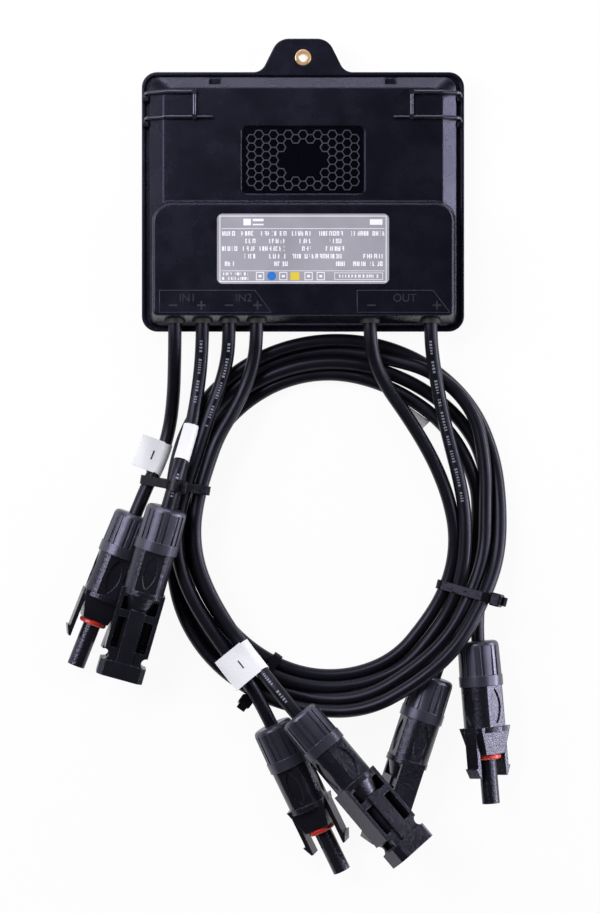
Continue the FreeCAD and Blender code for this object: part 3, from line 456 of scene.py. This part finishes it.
def ring_points(name):
    """Control points of one lead's two turns, from its way in to where it leaves for its nut."""
    way = winding[name]
    pair = way["pair"]
    count = int(way["travel"] / turn_step)
    points = []
    for index in range(1, count + 1):
        gone = way["travel"] * index / (count + end_room)
        angle = way["start"] - gone
        inner = around(ring_inner, angle)
        width = around(ring_outer, angle) - inner
        # Away from the left side: four lanes, with every other one raised where they are narrow
        pitch = (width - cord) / 3
        lane = pair + 2 * (
            smooth(gone, *first_turn_out) - smooth(gone, *second_turn_in) + smooth(gone, *second_turn_out))
        stack = math.sqrt(max(cord ** 2 - pitch ** 2, 0)) if pair else 0.0
        # At the left side: two layers, in which the first turn crosses over the second, outwards
        second = gone > second_turn
        layered = swell(gone % 360, *left_side)
        outwards = smooth(gone % 360, *turns_cross)
        share = 1 - outwards if second else outwards
        across = (1 - layered) * lane * pitch + layered * (share * (width - 2 * cord) + pair * cord)
        height = (1 - layered) * stack + layered * (0.0 if second else cord)
        # At the right side: the first turn lies over the two tails and climbs over the nuts
        over = swell(gone, *way["over_tails"])
        height = height * (1 - over) + over * cord
        height += swell(gone, *over_nuts) * way["nut_rise"] + swell(gone, *last_lift) * way["last_rise"]
        across += swell(gone, *pushed) * way["push"] * pitch - swell(gone, *tucked) * way["tuck"]
        height += (1 - smooth(gone, *way_in)) * way_in_rise
        for place in tie_angles:
            apart = abs((angle - place + 180) % 360 - 180)
            height += (1 - smooth(apart, *tie_reach)) * (tie_thick + tie_play)
        radius = (inner + cord / 2 + across) / spline_pull
        turn = math.radians(angle)
        points.append((
            ring_centre[0] + radius * math.cos(turn), ring_centre[1] + radius * math.sin(turn),
            cord / 2 + height))
    return points


def lead_points(name):
    """All control points of one lead, from its inner end to inside its nut."""
    x = lead_x[name]
    nut_end, aim = (Vector(place) for place in seats[name])
    heading = (aim - nut_end).normalized()
    points = [(x, inner_end_y, lead_height), (x, outside_y, lead_height)] + routes[name]
    if name in winding:
        points = points + ring_points(name) + tails[name]
    return points + [nut_end - heading * 2 * cord, nut_end + heading * cord]


def lead_curve(name):
    curve = bpy.data.curves.new("lead_" + name + "_line", "CURVE")
    curve.dimensions = "3D"
    curve.bevel_depth = cord / 2 * mm
    curve.bevel_resolution = 6
    curve.use_fill_caps = True
    points = lead_points(name)
    spline = curve.splines.new("NURBS")
    spline.points.add(len(points) - 1)
    for control, point in zip(spline.points, points):
        control.co = (point[0] * mm, point[1] * mm, point[2] * mm, 1)
    spline.order_u = 3
    spline.use_endpoint_u = True
    spline.resolution_u = 10
    return add_object("cord_" + name, curve)


def lead_line(curve):
    """Points along a lead's own spline, in millimetres, each with the distance run to it."""
    bare = curve.data.copy()
    bare.bevel_depth = 0
    holder = bpy.data.objects.new("line", bare)
    mesh = bpy.data.meshes.new_from_object(holder)
    points = [vertex.co / mm for vertex in mesh.vertices]
    bpy.data.objects.remove(holder)
    bpy.data.meshes.remove(mesh)
    bpy.data.curves.remove(bare)
    run = 0.0
    line = [(run, points[0])]
    for before, point in zip(points, points[1:]):
        run += (point - before).length
        line.append((run, point))
    return line


def on_line(line, run):
    """Place on a lead at a distance run, with its heading, its side and its upper direction."""
    for (low, before), (high, after) in zip(line, line[1:]):
        if high >= run:
            break
    place = before.lerp(after, (run - low) / (high - low))
    heading = (after - before).normalized()
    side = Vector((0, 0, 1)).cross(heading).normalized()
    return place, heading, side, heading.cross(side)


# Materials
def noise(tree, place, scale, detail=3.0, roughness=0.55):
    node = tree.nodes.new("ShaderNodeTexNoise")
    node.inputs["Scale"].default_value = scale
    node.inputs["Detail"].default_value = detail
    node.inputs["Roughness"].default_value = roughness
    tree.links.new(place.outputs["Object"], node.inputs["Vector"])
    return node.outputs["Fac"]


def clouded(tree, shader, source, dark, light):
    """Two colours of a noise, as the base colour."""
    node = tree.nodes.new("ShaderNodeValToRGB")
    for stop, position, colour in zip(node.color_ramp.elements, noise_middle, (dark, light)):
        stop.position = position
        stop.color = (*colour, 1)
    tree.links.new(source, node.inputs["Fac"])
    tree.links.new(node.outputs["Color"], shader.inputs["Base Color"])


def smeared(tree, shader, source, rough):
    """A roughness that varies with a noise."""
    node = tree.nodes.new("ShaderNodeMapRange")
    node.inputs["From Min"].default_value, node.inputs["From Max"].default_value = noise_middle
    node.inputs["To Min"].default_value = rough - gloss_spread
    node.inputs["To Max"].default_value = rough + gloss_spread
    tree.links.new(source, node.inputs["Value"])
    tree.links.new(node.outputs["Result"], shader.inputs["Roughness"])


def grained(tree, shader, source, depth, edge):
    """A fine grain, and soft edges of the given radius in millimetres."""
    node = tree.nodes.new("ShaderNodeBump")
    if edge:
        soft = tree.nodes.new("ShaderNodeBevel")
        soft.samples = 6
        soft.inputs["Radius"].default_value = edge * mm
        tree.links.new(soft.outputs["Normal"], node.inputs["Normal"])
    node.inputs["Strength"].default_value = depth
    node.inputs["Distance"].default_value = grain_height * mm
    tree.links.new(source, node.inputs["Height"])
    tree.links.new(node.outputs["Normal"], shader.inputs["Normal"])


def moulded(name, dark, light, rough, grain, depth, specular=0.4, metallic=0.0, edge=0.0, tint=(1, 1, 1)):
    """Moulded or coated surface: two close colours in slow clouds, a fine grain, uneven gloss."""
    material = bpy.data.materials.new(name)
    material.use_nodes = True
    tree = material.node_tree
    shader = tree.nodes["Principled BSDF"]
    place = tree.nodes.new("ShaderNodeTexCoord")
    clouded(tree, shader, noise(tree, place, cloud_scale), dark, light)
    smeared(tree, shader, noise(tree, place, smear_scale, detail=4.0), rough)
    grained(tree, shader, noise(tree, place, grain, detail=2.0, roughness=0.7), depth, edge)
    shader.inputs["Specular IOR Level"].default_value = specular
    shader.inputs["Specular Tint"].default_value = (*tint, 1)
    shader.inputs["Metallic"].default_value = metallic
    return material


def paint_honeycomb_light(material):
    """Paints a highlight on the crests of the honeycomb, and paints shade on the ground between them."""
    tree = material.node_tree
    links = tree.links
    shader = tree.nodes["Principled BSDF"]
    place = next(node for node in tree.nodes if node.type == "TEX_COORD")
    split = tree.nodes.new("ShaderNodeSeparateXYZ")
    links.new(place.outputs["Object"], split.inputs[0])

    def near(axis, value, reach):
        node = tree.nodes.new("ShaderNodeMath")
        node.operation = "COMPARE"
        node.inputs[1].default_value = value * mm
        node.inputs[2].default_value = reach * mm
        links.new(split.outputs[axis], node.inputs[0])
        return node.outputs[0]

    def product(first, second):
        node = tree.nodes.new("ShaderNodeMath")
        node.operation = "MULTIPLY"
        links.new(first, node.inputs[0])
        links.new(second, node.inputs[1])
        return node.outputs[0]

    inside = product(near("X", panel_middle[0], panel_half[0]), near("Y", panel_middle[1], panel_half[1]))
    soft = next(node for node in tree.nodes if node.type == "BEVEL")
    radius = tree.nodes.new("ShaderNodeMapRange")
    radius.inputs["To Min"].default_value = soft.inputs["Radius"].default_value
    radius.inputs["To Max"].default_value = panel_edge * mm
    links.new(inside, radius.inputs["Value"])
    links.new(radius.outputs["Result"], soft.inputs["Radius"])
    ground_height, ground_reach, _ = ground_shade
    gloss = tree.nodes.new("ShaderNodeMix")
    links.new(product(inside, near("Z", ground_height, ground_reach)), gloss.inputs["Factor"])
    links.new(shader.inputs["Roughness"].links[0].from_socket, gloss.inputs[value_a])
    gloss.inputs[value_b].default_value = ground_rough
    links.new(gloss.outputs[0], shader.inputs["Roughness"])
    # Painted highlight on the crests and painted shade on the ground, mixed into the base colour
    colour = shader.inputs["Base Color"].links[0].from_socket
    for height, reach, painted_tone in (crest_highlight, ground_shade):
        mix = tree.nodes.new("ShaderNodeMix")
        mix.data_type = "RGBA"
        links.new(product(inside, near("Z", height, reach)), mix.inputs["Factor"])
        links.new(colour, mix.inputs[colour_a])
        mix.inputs[colour_b].default_value = (*painted_tone, 1)
        colour = mix.outputs[2]
    links.new(colour, shader.inputs["Base Color"])


def make_materials():
    made = {key: moulded(name, **look) for key, (name, look) in surfaces.items()}
    paint_honeycomb_light(made["cover"])
    return made


def node_surface(node):
    if node in node_surfaces:
        return node_surfaces[node]
    return next(surface for start, surface in start_surfaces.items() if node.startswith(start))


# Studio
def make_floor():
    """Pale floor that keeps the object's shadow and reads as white in the picture."""
    mesh = bpy.data.meshes.new("floor")
    corners = [(x * floor_half, y * floor_half, 0) for x, y in ((-1, -1), (1, -1), (1, 1), (-1, 1))]
    mesh.from_pydata(corners, [], [(0, 1, 2, 3)])
    floor = add_object("floor", mesh)
    floor.location.z = -floor_drop
    material = bpy.data.materials.new("floor")
    material.use_nodes = True
    tree = material.node_tree
    links = tree.links
    diffuse = tree.nodes["Principled BSDF"]
    diffuse.inputs["Base Color"].default_value = (*floor_colour, 1)
    diffuse.inputs["Roughness"].default_value = 0.9
    glow = tree.nodes.new("ShaderNodeEmission")
    glow.inputs["Color"].default_value = (1, 1, 1, 1)
    # Seen by the camera, in a reflection or through something, the floor glows for the most part
    path = tree.nodes.new("ShaderNodeLightPath")
    seen = path.outputs["Is Camera Ray"]
    for ray, operation in (
            ("Is Glossy Ray", "MAXIMUM"), ("Is Transmission Ray", "MAXIMUM"), (None, "MULTIPLY")):
        step = tree.nodes.new("ShaderNodeMath")
        step.operation = operation
        step.inputs[1].default_value = floor_glow
        links.new(seen, step.inputs[0])
        if ray:
            links.new(path.outputs[ray], step.inputs[1])
        seen = step.outputs[0]
    mix = tree.nodes.new("ShaderNodeMixShader")
    links.new(seen, mix.inputs[0])
    links.new(diffuse.outputs[0], mix.inputs[1])
    links.new(glow.outputs[0], mix.inputs[2])
    links.new(mix.outputs[0], tree.nodes["Material Output"].inputs["Surface"])
    dress(floor, material)


def make_light():
    world = bpy.data.worlds.new("studio")
    world.use_nodes = True
    background = world.node_tree.nodes["Background"]
    background.inputs["Color"].default_value = (*world_colour, 1)
    background.inputs["Strength"].default_value = world_strength
    bpy.context.scene.world = world
    for name, (place, width, height, power, colour) in lamps.items():
        data = bpy.data.lights.new(name, "AREA")
        data.shape = "RECTANGLE"
        data.size = width
        data.size_y = height
        data.energy = power
        data.color = colour
        lamp = add_object(name, data)
        lamp.location = place
        lamp.rotation_euler = (Vector(lamp_aim) - Vector(place)).to_track_quat("-Z", "Y").to_euler()


# Marks and print
box_faces = [(0, 3, 2, 1), (4, 5, 6, 7), (0, 1, 5, 4), (1, 2, 6, 5), (2, 3, 7, 6), (3, 0, 4, 7)]


def bars(name, areas, low, high, material):
    """One piece of several small bars between two heights."""
    vertices = []
    faces = []
    for x_low, x_high, y_low, y_high in areas:
        faces += [tuple(len(vertices) + corner for corner in face) for face in box_faces]
        corners = [(x_low, y_low), (x_high, y_low), (x_high, y_high), (x_low, y_high)]
        vertices += [(*corner, height) for height in (low, high) for corner in corners]
    return mesh_piece(name, vertices, faces, material)


def disc(name, middle, radius, low, high, material):
    steps = 28
    vertices = []
    for height in (low, high):
        for step in range(steps):
            turn = 2 * math.pi * step / steps
            x, y = middle[0] + radius * math.cos(turn), middle[1] + radius * math.sin(turn)
            vertices.append((x, y, height))
    faces = [tuple(range(steps))[::-1], tuple(range(steps, 2 * steps))]
    for step in range(steps):
        following = (step + 1) % steps
        faces.append((step, following, steps + following, steps + step))
    return mesh_piece(name, vertices, faces, material)


def raised_line(name, points, height, material):
    """Thin closed line, half sunk in the lead box."""
    curve = bpy.data.curves.new(name, "CURVE")
    curve.dimensions = "3D"
    curve.bevel_depth = line_radius * mm
    curve.bevel_resolution = 1
    spline = curve.splines.new("POLY")
    spline.points.add(len(points) - 1)
    for control, (x, y) in zip(spline.points, points):
        control.co = (x * mm, y * mm, height * mm, 1)
    spline.use_cyclic_u = True
    fix(add_object(name, curve), material)


def raised_word(name, word, x, height, material):
    curve = bpy.data.curves.new(name, "FONT")
    curve.body = word
    curve.size = word_size * mm
    curve.align_x = "CENTER"
    curve.align_y = "CENTER"
    curve.extrude = word_half_thick * mm
    piece = add_object(name, curve)
    piece.location = (x * mm, word_y * mm, height * mm)
    fix(piece, material)


def make_marks(material):
    top = top_of("front_cover")
    for name, points in mark_frames.items():
        raised_line(name, points, top + line_lift, material)
    signs = []
    for x in minus_x + plus_x:
        signs.append((x - sign_arm, x + sign_arm, sign_y - sign_half, sign_y + sign_half))
    for x in plus_x:
        signs.append((x - sign_half, x + sign_half, sign_y - sign_arm, sign_y - sign_half))
        signs.append((x - sign_half, x + sign_half, sign_y + sign_half, sign_y + sign_arm))
    low, high = (top + level for level in sign_levels)
    bars("polarity_signs", signs, low, high, material)
    for name, word, x in mark_words:
        raised_word(name, word, x, top + word_lift, material)


def hollow(x_low, x_high, y_low, y_high, line):
    """Areas of a rectangle drawn with a line."""
    inner_y = (y_low + line, y_high - line)
    return [
        (x_low, x_high, y_high - line, y_high), (x_low, x_high, y_low, y_low + line),
        (x_low, x_low + line, *inner_y), (x_high - line, x_high, *inner_y)]


def glyph(dice, x, y, wide, tall):
    """Small figure of strokes on a box's sides, which stands for one printed character."""
    left, right = (x, x + stroke), (x + wide - stroke, x + wide)
    between = (x + stroke, x + wide - stroke)
    strokes = [
        (*left, y - tall, y + tall), (*right, y - tall, y + tall), (*between, y + tall - stroke, y + tall),
        (*between, y - tall, y - tall + stroke), (*between, y - stroke / 2, y + stroke / 2)]
    return dice.sample(strokes, dice.choice((2, 3, 3, 4)))


def figures(dice, x, end, y, tall, widths, gap):
    """Row of figures that stands for one or more printed words."""
    areas = []
    while x < end:
        wide = dice.choice(widths)
        areas += glyph(dice, x, y, wide, tall)
        x += wide + gap
    return areas


def make_label_print(finishes):
    """Plain figures, lines and fields where a rating label has its print."""
    dice = random.Random(11)
    left, right, _, _ = label_frame
    areas = hollow(*label_frame, label_line)
    for y in rules_y:
        areas.append((left + rule_inset, right - rule_inset, y - rule_half, y + rule_half))
    for y, words in label_rows:
        for x, width in words:
            areas += figures(dice, x, x + width - word_slack, y, *word_figures)
    areas += header_blocks
    for row in small_rows:
        areas += figures(dice, *row, *small_figures)
    for x in symbols_x:
        areas += hollow(x, x + symbol_size, *symbol_y, label_line)
        areas.append((x + symbol_dot[0], x + symbol_dot[1], symbol_dot[2], symbol_dot[3]))
    areas += hollow(*last_frame, last_line)
    areas += figures(dice, *last_row, *last_figures)
    top = top_of("rating_label")
    low, high = top - print_half, top + print_half
    bars("label_print", areas, low, high, finishes["print"])
    disc("label_disc", disc_middle, disc_radius, low, high, finishes["blue"])
    bars("label_field", [yellow_field], low, high, finishes["yellow"])


# Flags and print on the leads
def film_piece(name, vertices, rows, columns, material):
    """Thin film from two layers of a grid of points, closed round its rim."""
    size = rows * columns
    faces = []
    for row in range(rows - 1):
        for column in range(columns - 1):
            low = row * columns + column
            face = (low, low + columns, low + columns + 1, low + 1)
            faces += [face, tuple(size + corner for corner in face[::-1])]
    rim = list(range(columns))
    rim += [row * columns + columns - 1 for row in range(1, rows)]
    rim += [(rows - 1) * columns + column for column in range(columns - 2, -1, -1)]
    rim += [row * columns for row in range(rows - 2, 0, -1)]
    for first, second in zip(rim, rim[1:] + rim[:1]):
        faces.append((first, second, size + second, size + first))
    return mesh_piece(name, vertices, faces, material)


def make_wrap(name, line, centre, length, inner, outer, material):
    """Film wound round a lead."""
    steps = 24
    vertices = []
    for row in range(flag_rows):
        place, _, side, up = on_line(line, centre - length / 2 + length * row / (flag_rows - 1))
        for radius in (outer, inner):
            for step in range(steps):
                turn = 2 * math.pi * step / steps
                vertices.append(place + (side * math.cos(turn) + up * math.sin(turn)) * radius)
    faces = []
    ring = 2 * steps
    last = (flag_rows - 1) * ring
    for step in range(steps):
        following = (step + 1) % steps
        for low in range(0, last, ring):
            high = low + ring
            faces.append((low + step, high + step, high + following, low + following))
            faces.append((
                low + steps + step, low + steps + following, high + steps + following, high + steps + step))
        end = (step, following, steps + following, steps + step)
        faces += [end, tuple(last + corner for corner in end[::-1])]
    return mesh_piece(name + "_wrap", vertices, faces, material)


def make_leaf(name, line, centre, length, reach, outer, material):
    """Flat end of a flag's film, to the left of its lead and a little curled."""
    _, _, side, up = on_line(line, centre)
    vertices = []
    for layer in (0.0, leaf_thick):
        for row in range(flag_rows):
            station = length * (row / (flag_rows - 1) - 0.5)
            base = on_line(line, centre + station)[0]
            for column in range(leaf_columns):
                share = column / (leaf_columns - 1)
                wave = leaf_wave * math.sin(wave_across * share + wave_along * station)
                lift = outer - leaf_thick + layer + (wave - leaf_droop * share ** 2) * share
                vertices.append(base - side * (share * (reach + outer)) + up * lift)
    return film_piece(name + "_leaf", vertices, flag_rows, leaf_columns, material)


def make_flag(name, line, middle, length, reach, finishes):
    """Film wrapped round a lead, with a flat leaf to its left and a bar printed on that."""
    centre = min(line, key=lambda item: (item[1] - Vector(middle)).length)[0]
    inner = cord / 2 + wrap_gap
    outer = inner + wrap_thick
    pieces = [make_wrap(name, line, centre, length, inner, outer, finishes["flag"])]
    if reach:
        pieces.append(make_leaf(name, line, centre, length, reach, outer, finishes["flag"]))
        place, heading, side, up = on_line(line, centre)
        spot = place - side * (reach / 2) + up * (outer + bar_lift)
        long, wide = flag_bar
        corners = [(-long, -wide), (long, -wide), (long, wide), (-long, wide)]
        vertices = [spot + heading * x - side * y + up * z for z in bar_levels for x, y in corners]
        pieces.append(mesh_piece(name + "_bar", vertices, box_faces, finishes["ink"]))
    return pieces


def make_hung_leaf(material):
    """Leaf of a flag that is stuck under a lead, bent down beneath the turns of the ring."""
    corners = [Vector(corner) for corner in hung_leaf]
    vertices = []
    for layer in (0.0, leaf_thick):
        for row in range(hung_rows):
            near = corners[0].lerp(corners[3], row / (hung_rows - 1))
            far = corners[1].lerp(corners[2], row / (hung_rows - 1))
            for column in range(leaf_columns):
                share = column / (leaf_columns - 1)
                sag = hung_sag * math.sin(math.pi * share)
                vertices.append(near.lerp(far, share) + Vector((0, 0, layer + sag)))
    return film_piece("flag_out_minus_leaf", vertices, hung_rows, leaf_columns, material)


def make_print(name, line, start, end, lean, material):
    """Small pale dashes along a lead, in groups, where its jacket is printed."""
    dice = random.Random(name)
    radius = cord / 2 + print_lift
    vertices = []
    faces = []
    run = start
    while run < end:
        for _ in range(dice.randint(*dash_counts)):
            length = dice.uniform(*dash_lengths)
            half = dice.uniform(*dash_half_turns)
            for station in (run, run + length):
                place, _, side, up = on_line(line, station)
                for turn in (lean - half, lean, lean + half):
                    angle = math.radians(turn)
                    vertices.append(place + (side * math.sin(angle) + up * math.cos(angle)) * radius)
            first = len(vertices) - 6
            faces += [(first, first + 3, first + 4, first + 1), (first + 1, first + 4, first + 5, first + 2)]
            run += length + dash_gap
            if run > end:
                break
        run += dice.uniform(*group_gaps)
    return mesh_piece(name, vertices, faces, material, closed=False)


# Cable ties
def block_hull(centre, axes, sizes, cut):
    """Points of a box with its corners and edges cut."""
    points = []
    for signs in ((x, y, z) for x in (-1, 1) for y in (-1, 1) for z in (-1, 1)):
        for full in range(3):
            place = centre.copy()
            for index in range(3):
                reach = sizes[index] / 2 - (0 if index == full else cut)
                place = place + axes[index] * (signs[index] * reach)
            points.append(place)
    return points


def hull_piece(name, groups, material):
    """One piece of several convex blocks."""
    shape = bmesh.new()
    for points in groups:
        new = [shape.verts.new([value * mm for value in point]) for point in points]
        made = bmesh.ops.convex_hull(shape, input=new)
        inside = [item for item in made["geom_interior"] if item.is_valid]
        bmesh.ops.delete(shape, geom=inside, context="VERTS")
    bmesh.ops.recalc_face_normals(shape, faces=shape.faces)
    mesh = bpy.data.meshes.new(name)
    shape.to_mesh(mesh)
    shape.free()
    return fix(add_object(name, mesh), material)


def bundle(lines, middle, across, along, half, top):
    """Where leads pass through the plane of a tie: distance across it, and height."""
    found = []
    for line in lines:
        for (_, before), (_, after) in zip(line, line[1:]):
            low = (before - middle).dot(along)
            high = (after - middle).dot(along)
            if low * high <= 0 and low != high:
                place = before.lerp(after, low / (low - high))
                reach = (place - middle).dot(across)
                if abs(reach) < half and place.z < top:
                    found.append((reach, place.z))
    return found


def outline_of(places, radius):
    """Tight loop round circles: for each of its points the circle's centre and the way out."""
    steps = 32
    points = []
    for reach, height in places:
        for step in range(steps):
            turn = 2 * math.pi * step / steps
            out = (math.cos(turn), math.sin(turn))
            points.append((reach + radius * out[0], height + radius * out[1], (reach, height), out))
    points.sort(key=lambda item: item[:2])

    def half_hull(ordered):
        chain = []
        for point in ordered:
            while len(chain) > 1:
                a, b = chain[-2], chain[-1]
                if (b[0] - a[0]) * (point[1] - a[1]) - (b[1] - a[1]) * (point[0] - a[0]) > 1e-9:
                    break
                chain.pop()
            chain.append(point)
        return chain[:-1]

    return half_hull(points) + half_hull(points[::-1])


def make_tie(name, lines, middle, across, half, top, head, material):
    """Strap drawn tight round the leads that pass through it, with its head and cut end."""
    middle = Vector((*middle, 0))
    across = Vector((*across, 0)).normalized()
    along = Vector((-across.y, across.x, 0))
    up = Vector((0, 0, 1))
    inner = cord / 2 + tie_gap
    loop = outline_of(bundle(lines, middle, across, along, half, top), inner)
    vertices = []
    for _, _, centre, out in loop:
        for radius, lowest in ((inner, tie_clearance["inner"]), (inner + tie_thick, tie_clearance["outer"])):
            reach = centre[0] + out[0] * radius
            height = max(centre[1] + out[1] * radius, lowest)
            for edge in (-tie_width / 2, tie_width / 2):
                vertices.append(middle + across * reach + along * edge + up * height)
    faces = []
    for index in range(len(loop)):
        a, b = index * 4, (index + 1) % len(loop) * 4
        faces += [
            (a, a + 1, b + 1, b), (a + 2, b + 2, b + 3, a + 3),
            (a, b, b + 2, a + 2), (a + 1, a + 3, b + 3, b + 1)]
    strap = mesh_piece(name + "_strap", vertices, faces, material)
    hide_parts(name)
    way = Vector(head).normalized()
    _, _, centre, out = max(loop, key=lambda item: item[0] * way.x + item[1] * way.y)
    outward = across * out[0] + up * out[1]
    sideways = along.cross(outward)
    foot = middle + across * centre[0] + up * centre[1] + outward * (inner + tie_thick / 2)
    groups = [
        block_hull(foot + outward * lift + sideways * shift, (outward, sideways, along), sizes, cut)
        for lift, shift, sizes, cut in tie_head]
    hull_piece(name + "_head", groups, material)


def connector_nodes(name):
    """CAD nodes of the connector on a lead."""
    starts = ("gland_nut_", "gland_seal_", "connector_body_", "contact_", "sealing_ring_")
    return [nodes[start + name] for start in starts if start + name in nodes]


def make_leads(finishes):
    lines = {}
    extras = {}
    for name in lead_x:
        piece = fix(lead_curve(name), finishes["lead"])
        if name in winding:
            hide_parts("lead_" + name + "_start", "lead_" + name + "_end")
        else:
            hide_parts("lead_" + name)
        lines[name] = lead_line(piece)
        extras[name] = connector_nodes(name)
    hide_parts("lead_ring")
    for flag, (name, middle, length, reach) in flags.items():
        made = make_flag(flag, lines[name], middle, length, reach, finishes)
        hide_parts(flag)
        extras[name] += made
    leaf = make_hung_leaf(finishes["flag"])
    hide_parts("flag_out_minus")
    extras["out_minus"].append(leaf)
    for index, (name, start, end, lean) in enumerate(print_runs):
        extras[name].append(make_print(
            "print_%s_%d" % (name, index), lines[name], start, end, lean, finishes["cable_print"]))
    for name, (middle, across, half, top, head) in ties.items():
        make_tie(name, lines.values(), middle, across, half, top, head, finishes["tie"])


make_camera()
bpy.context.scene.view_settings.view_transform = "Standard"
finishes = make_materials()
for node, piece in nodes.items():
    dress(piece, finishes[node_surface(node)])
make_leads(finishes)
make_floor()
make_light()
make_marks(finishes["mark"])
make_label_print(finishes)
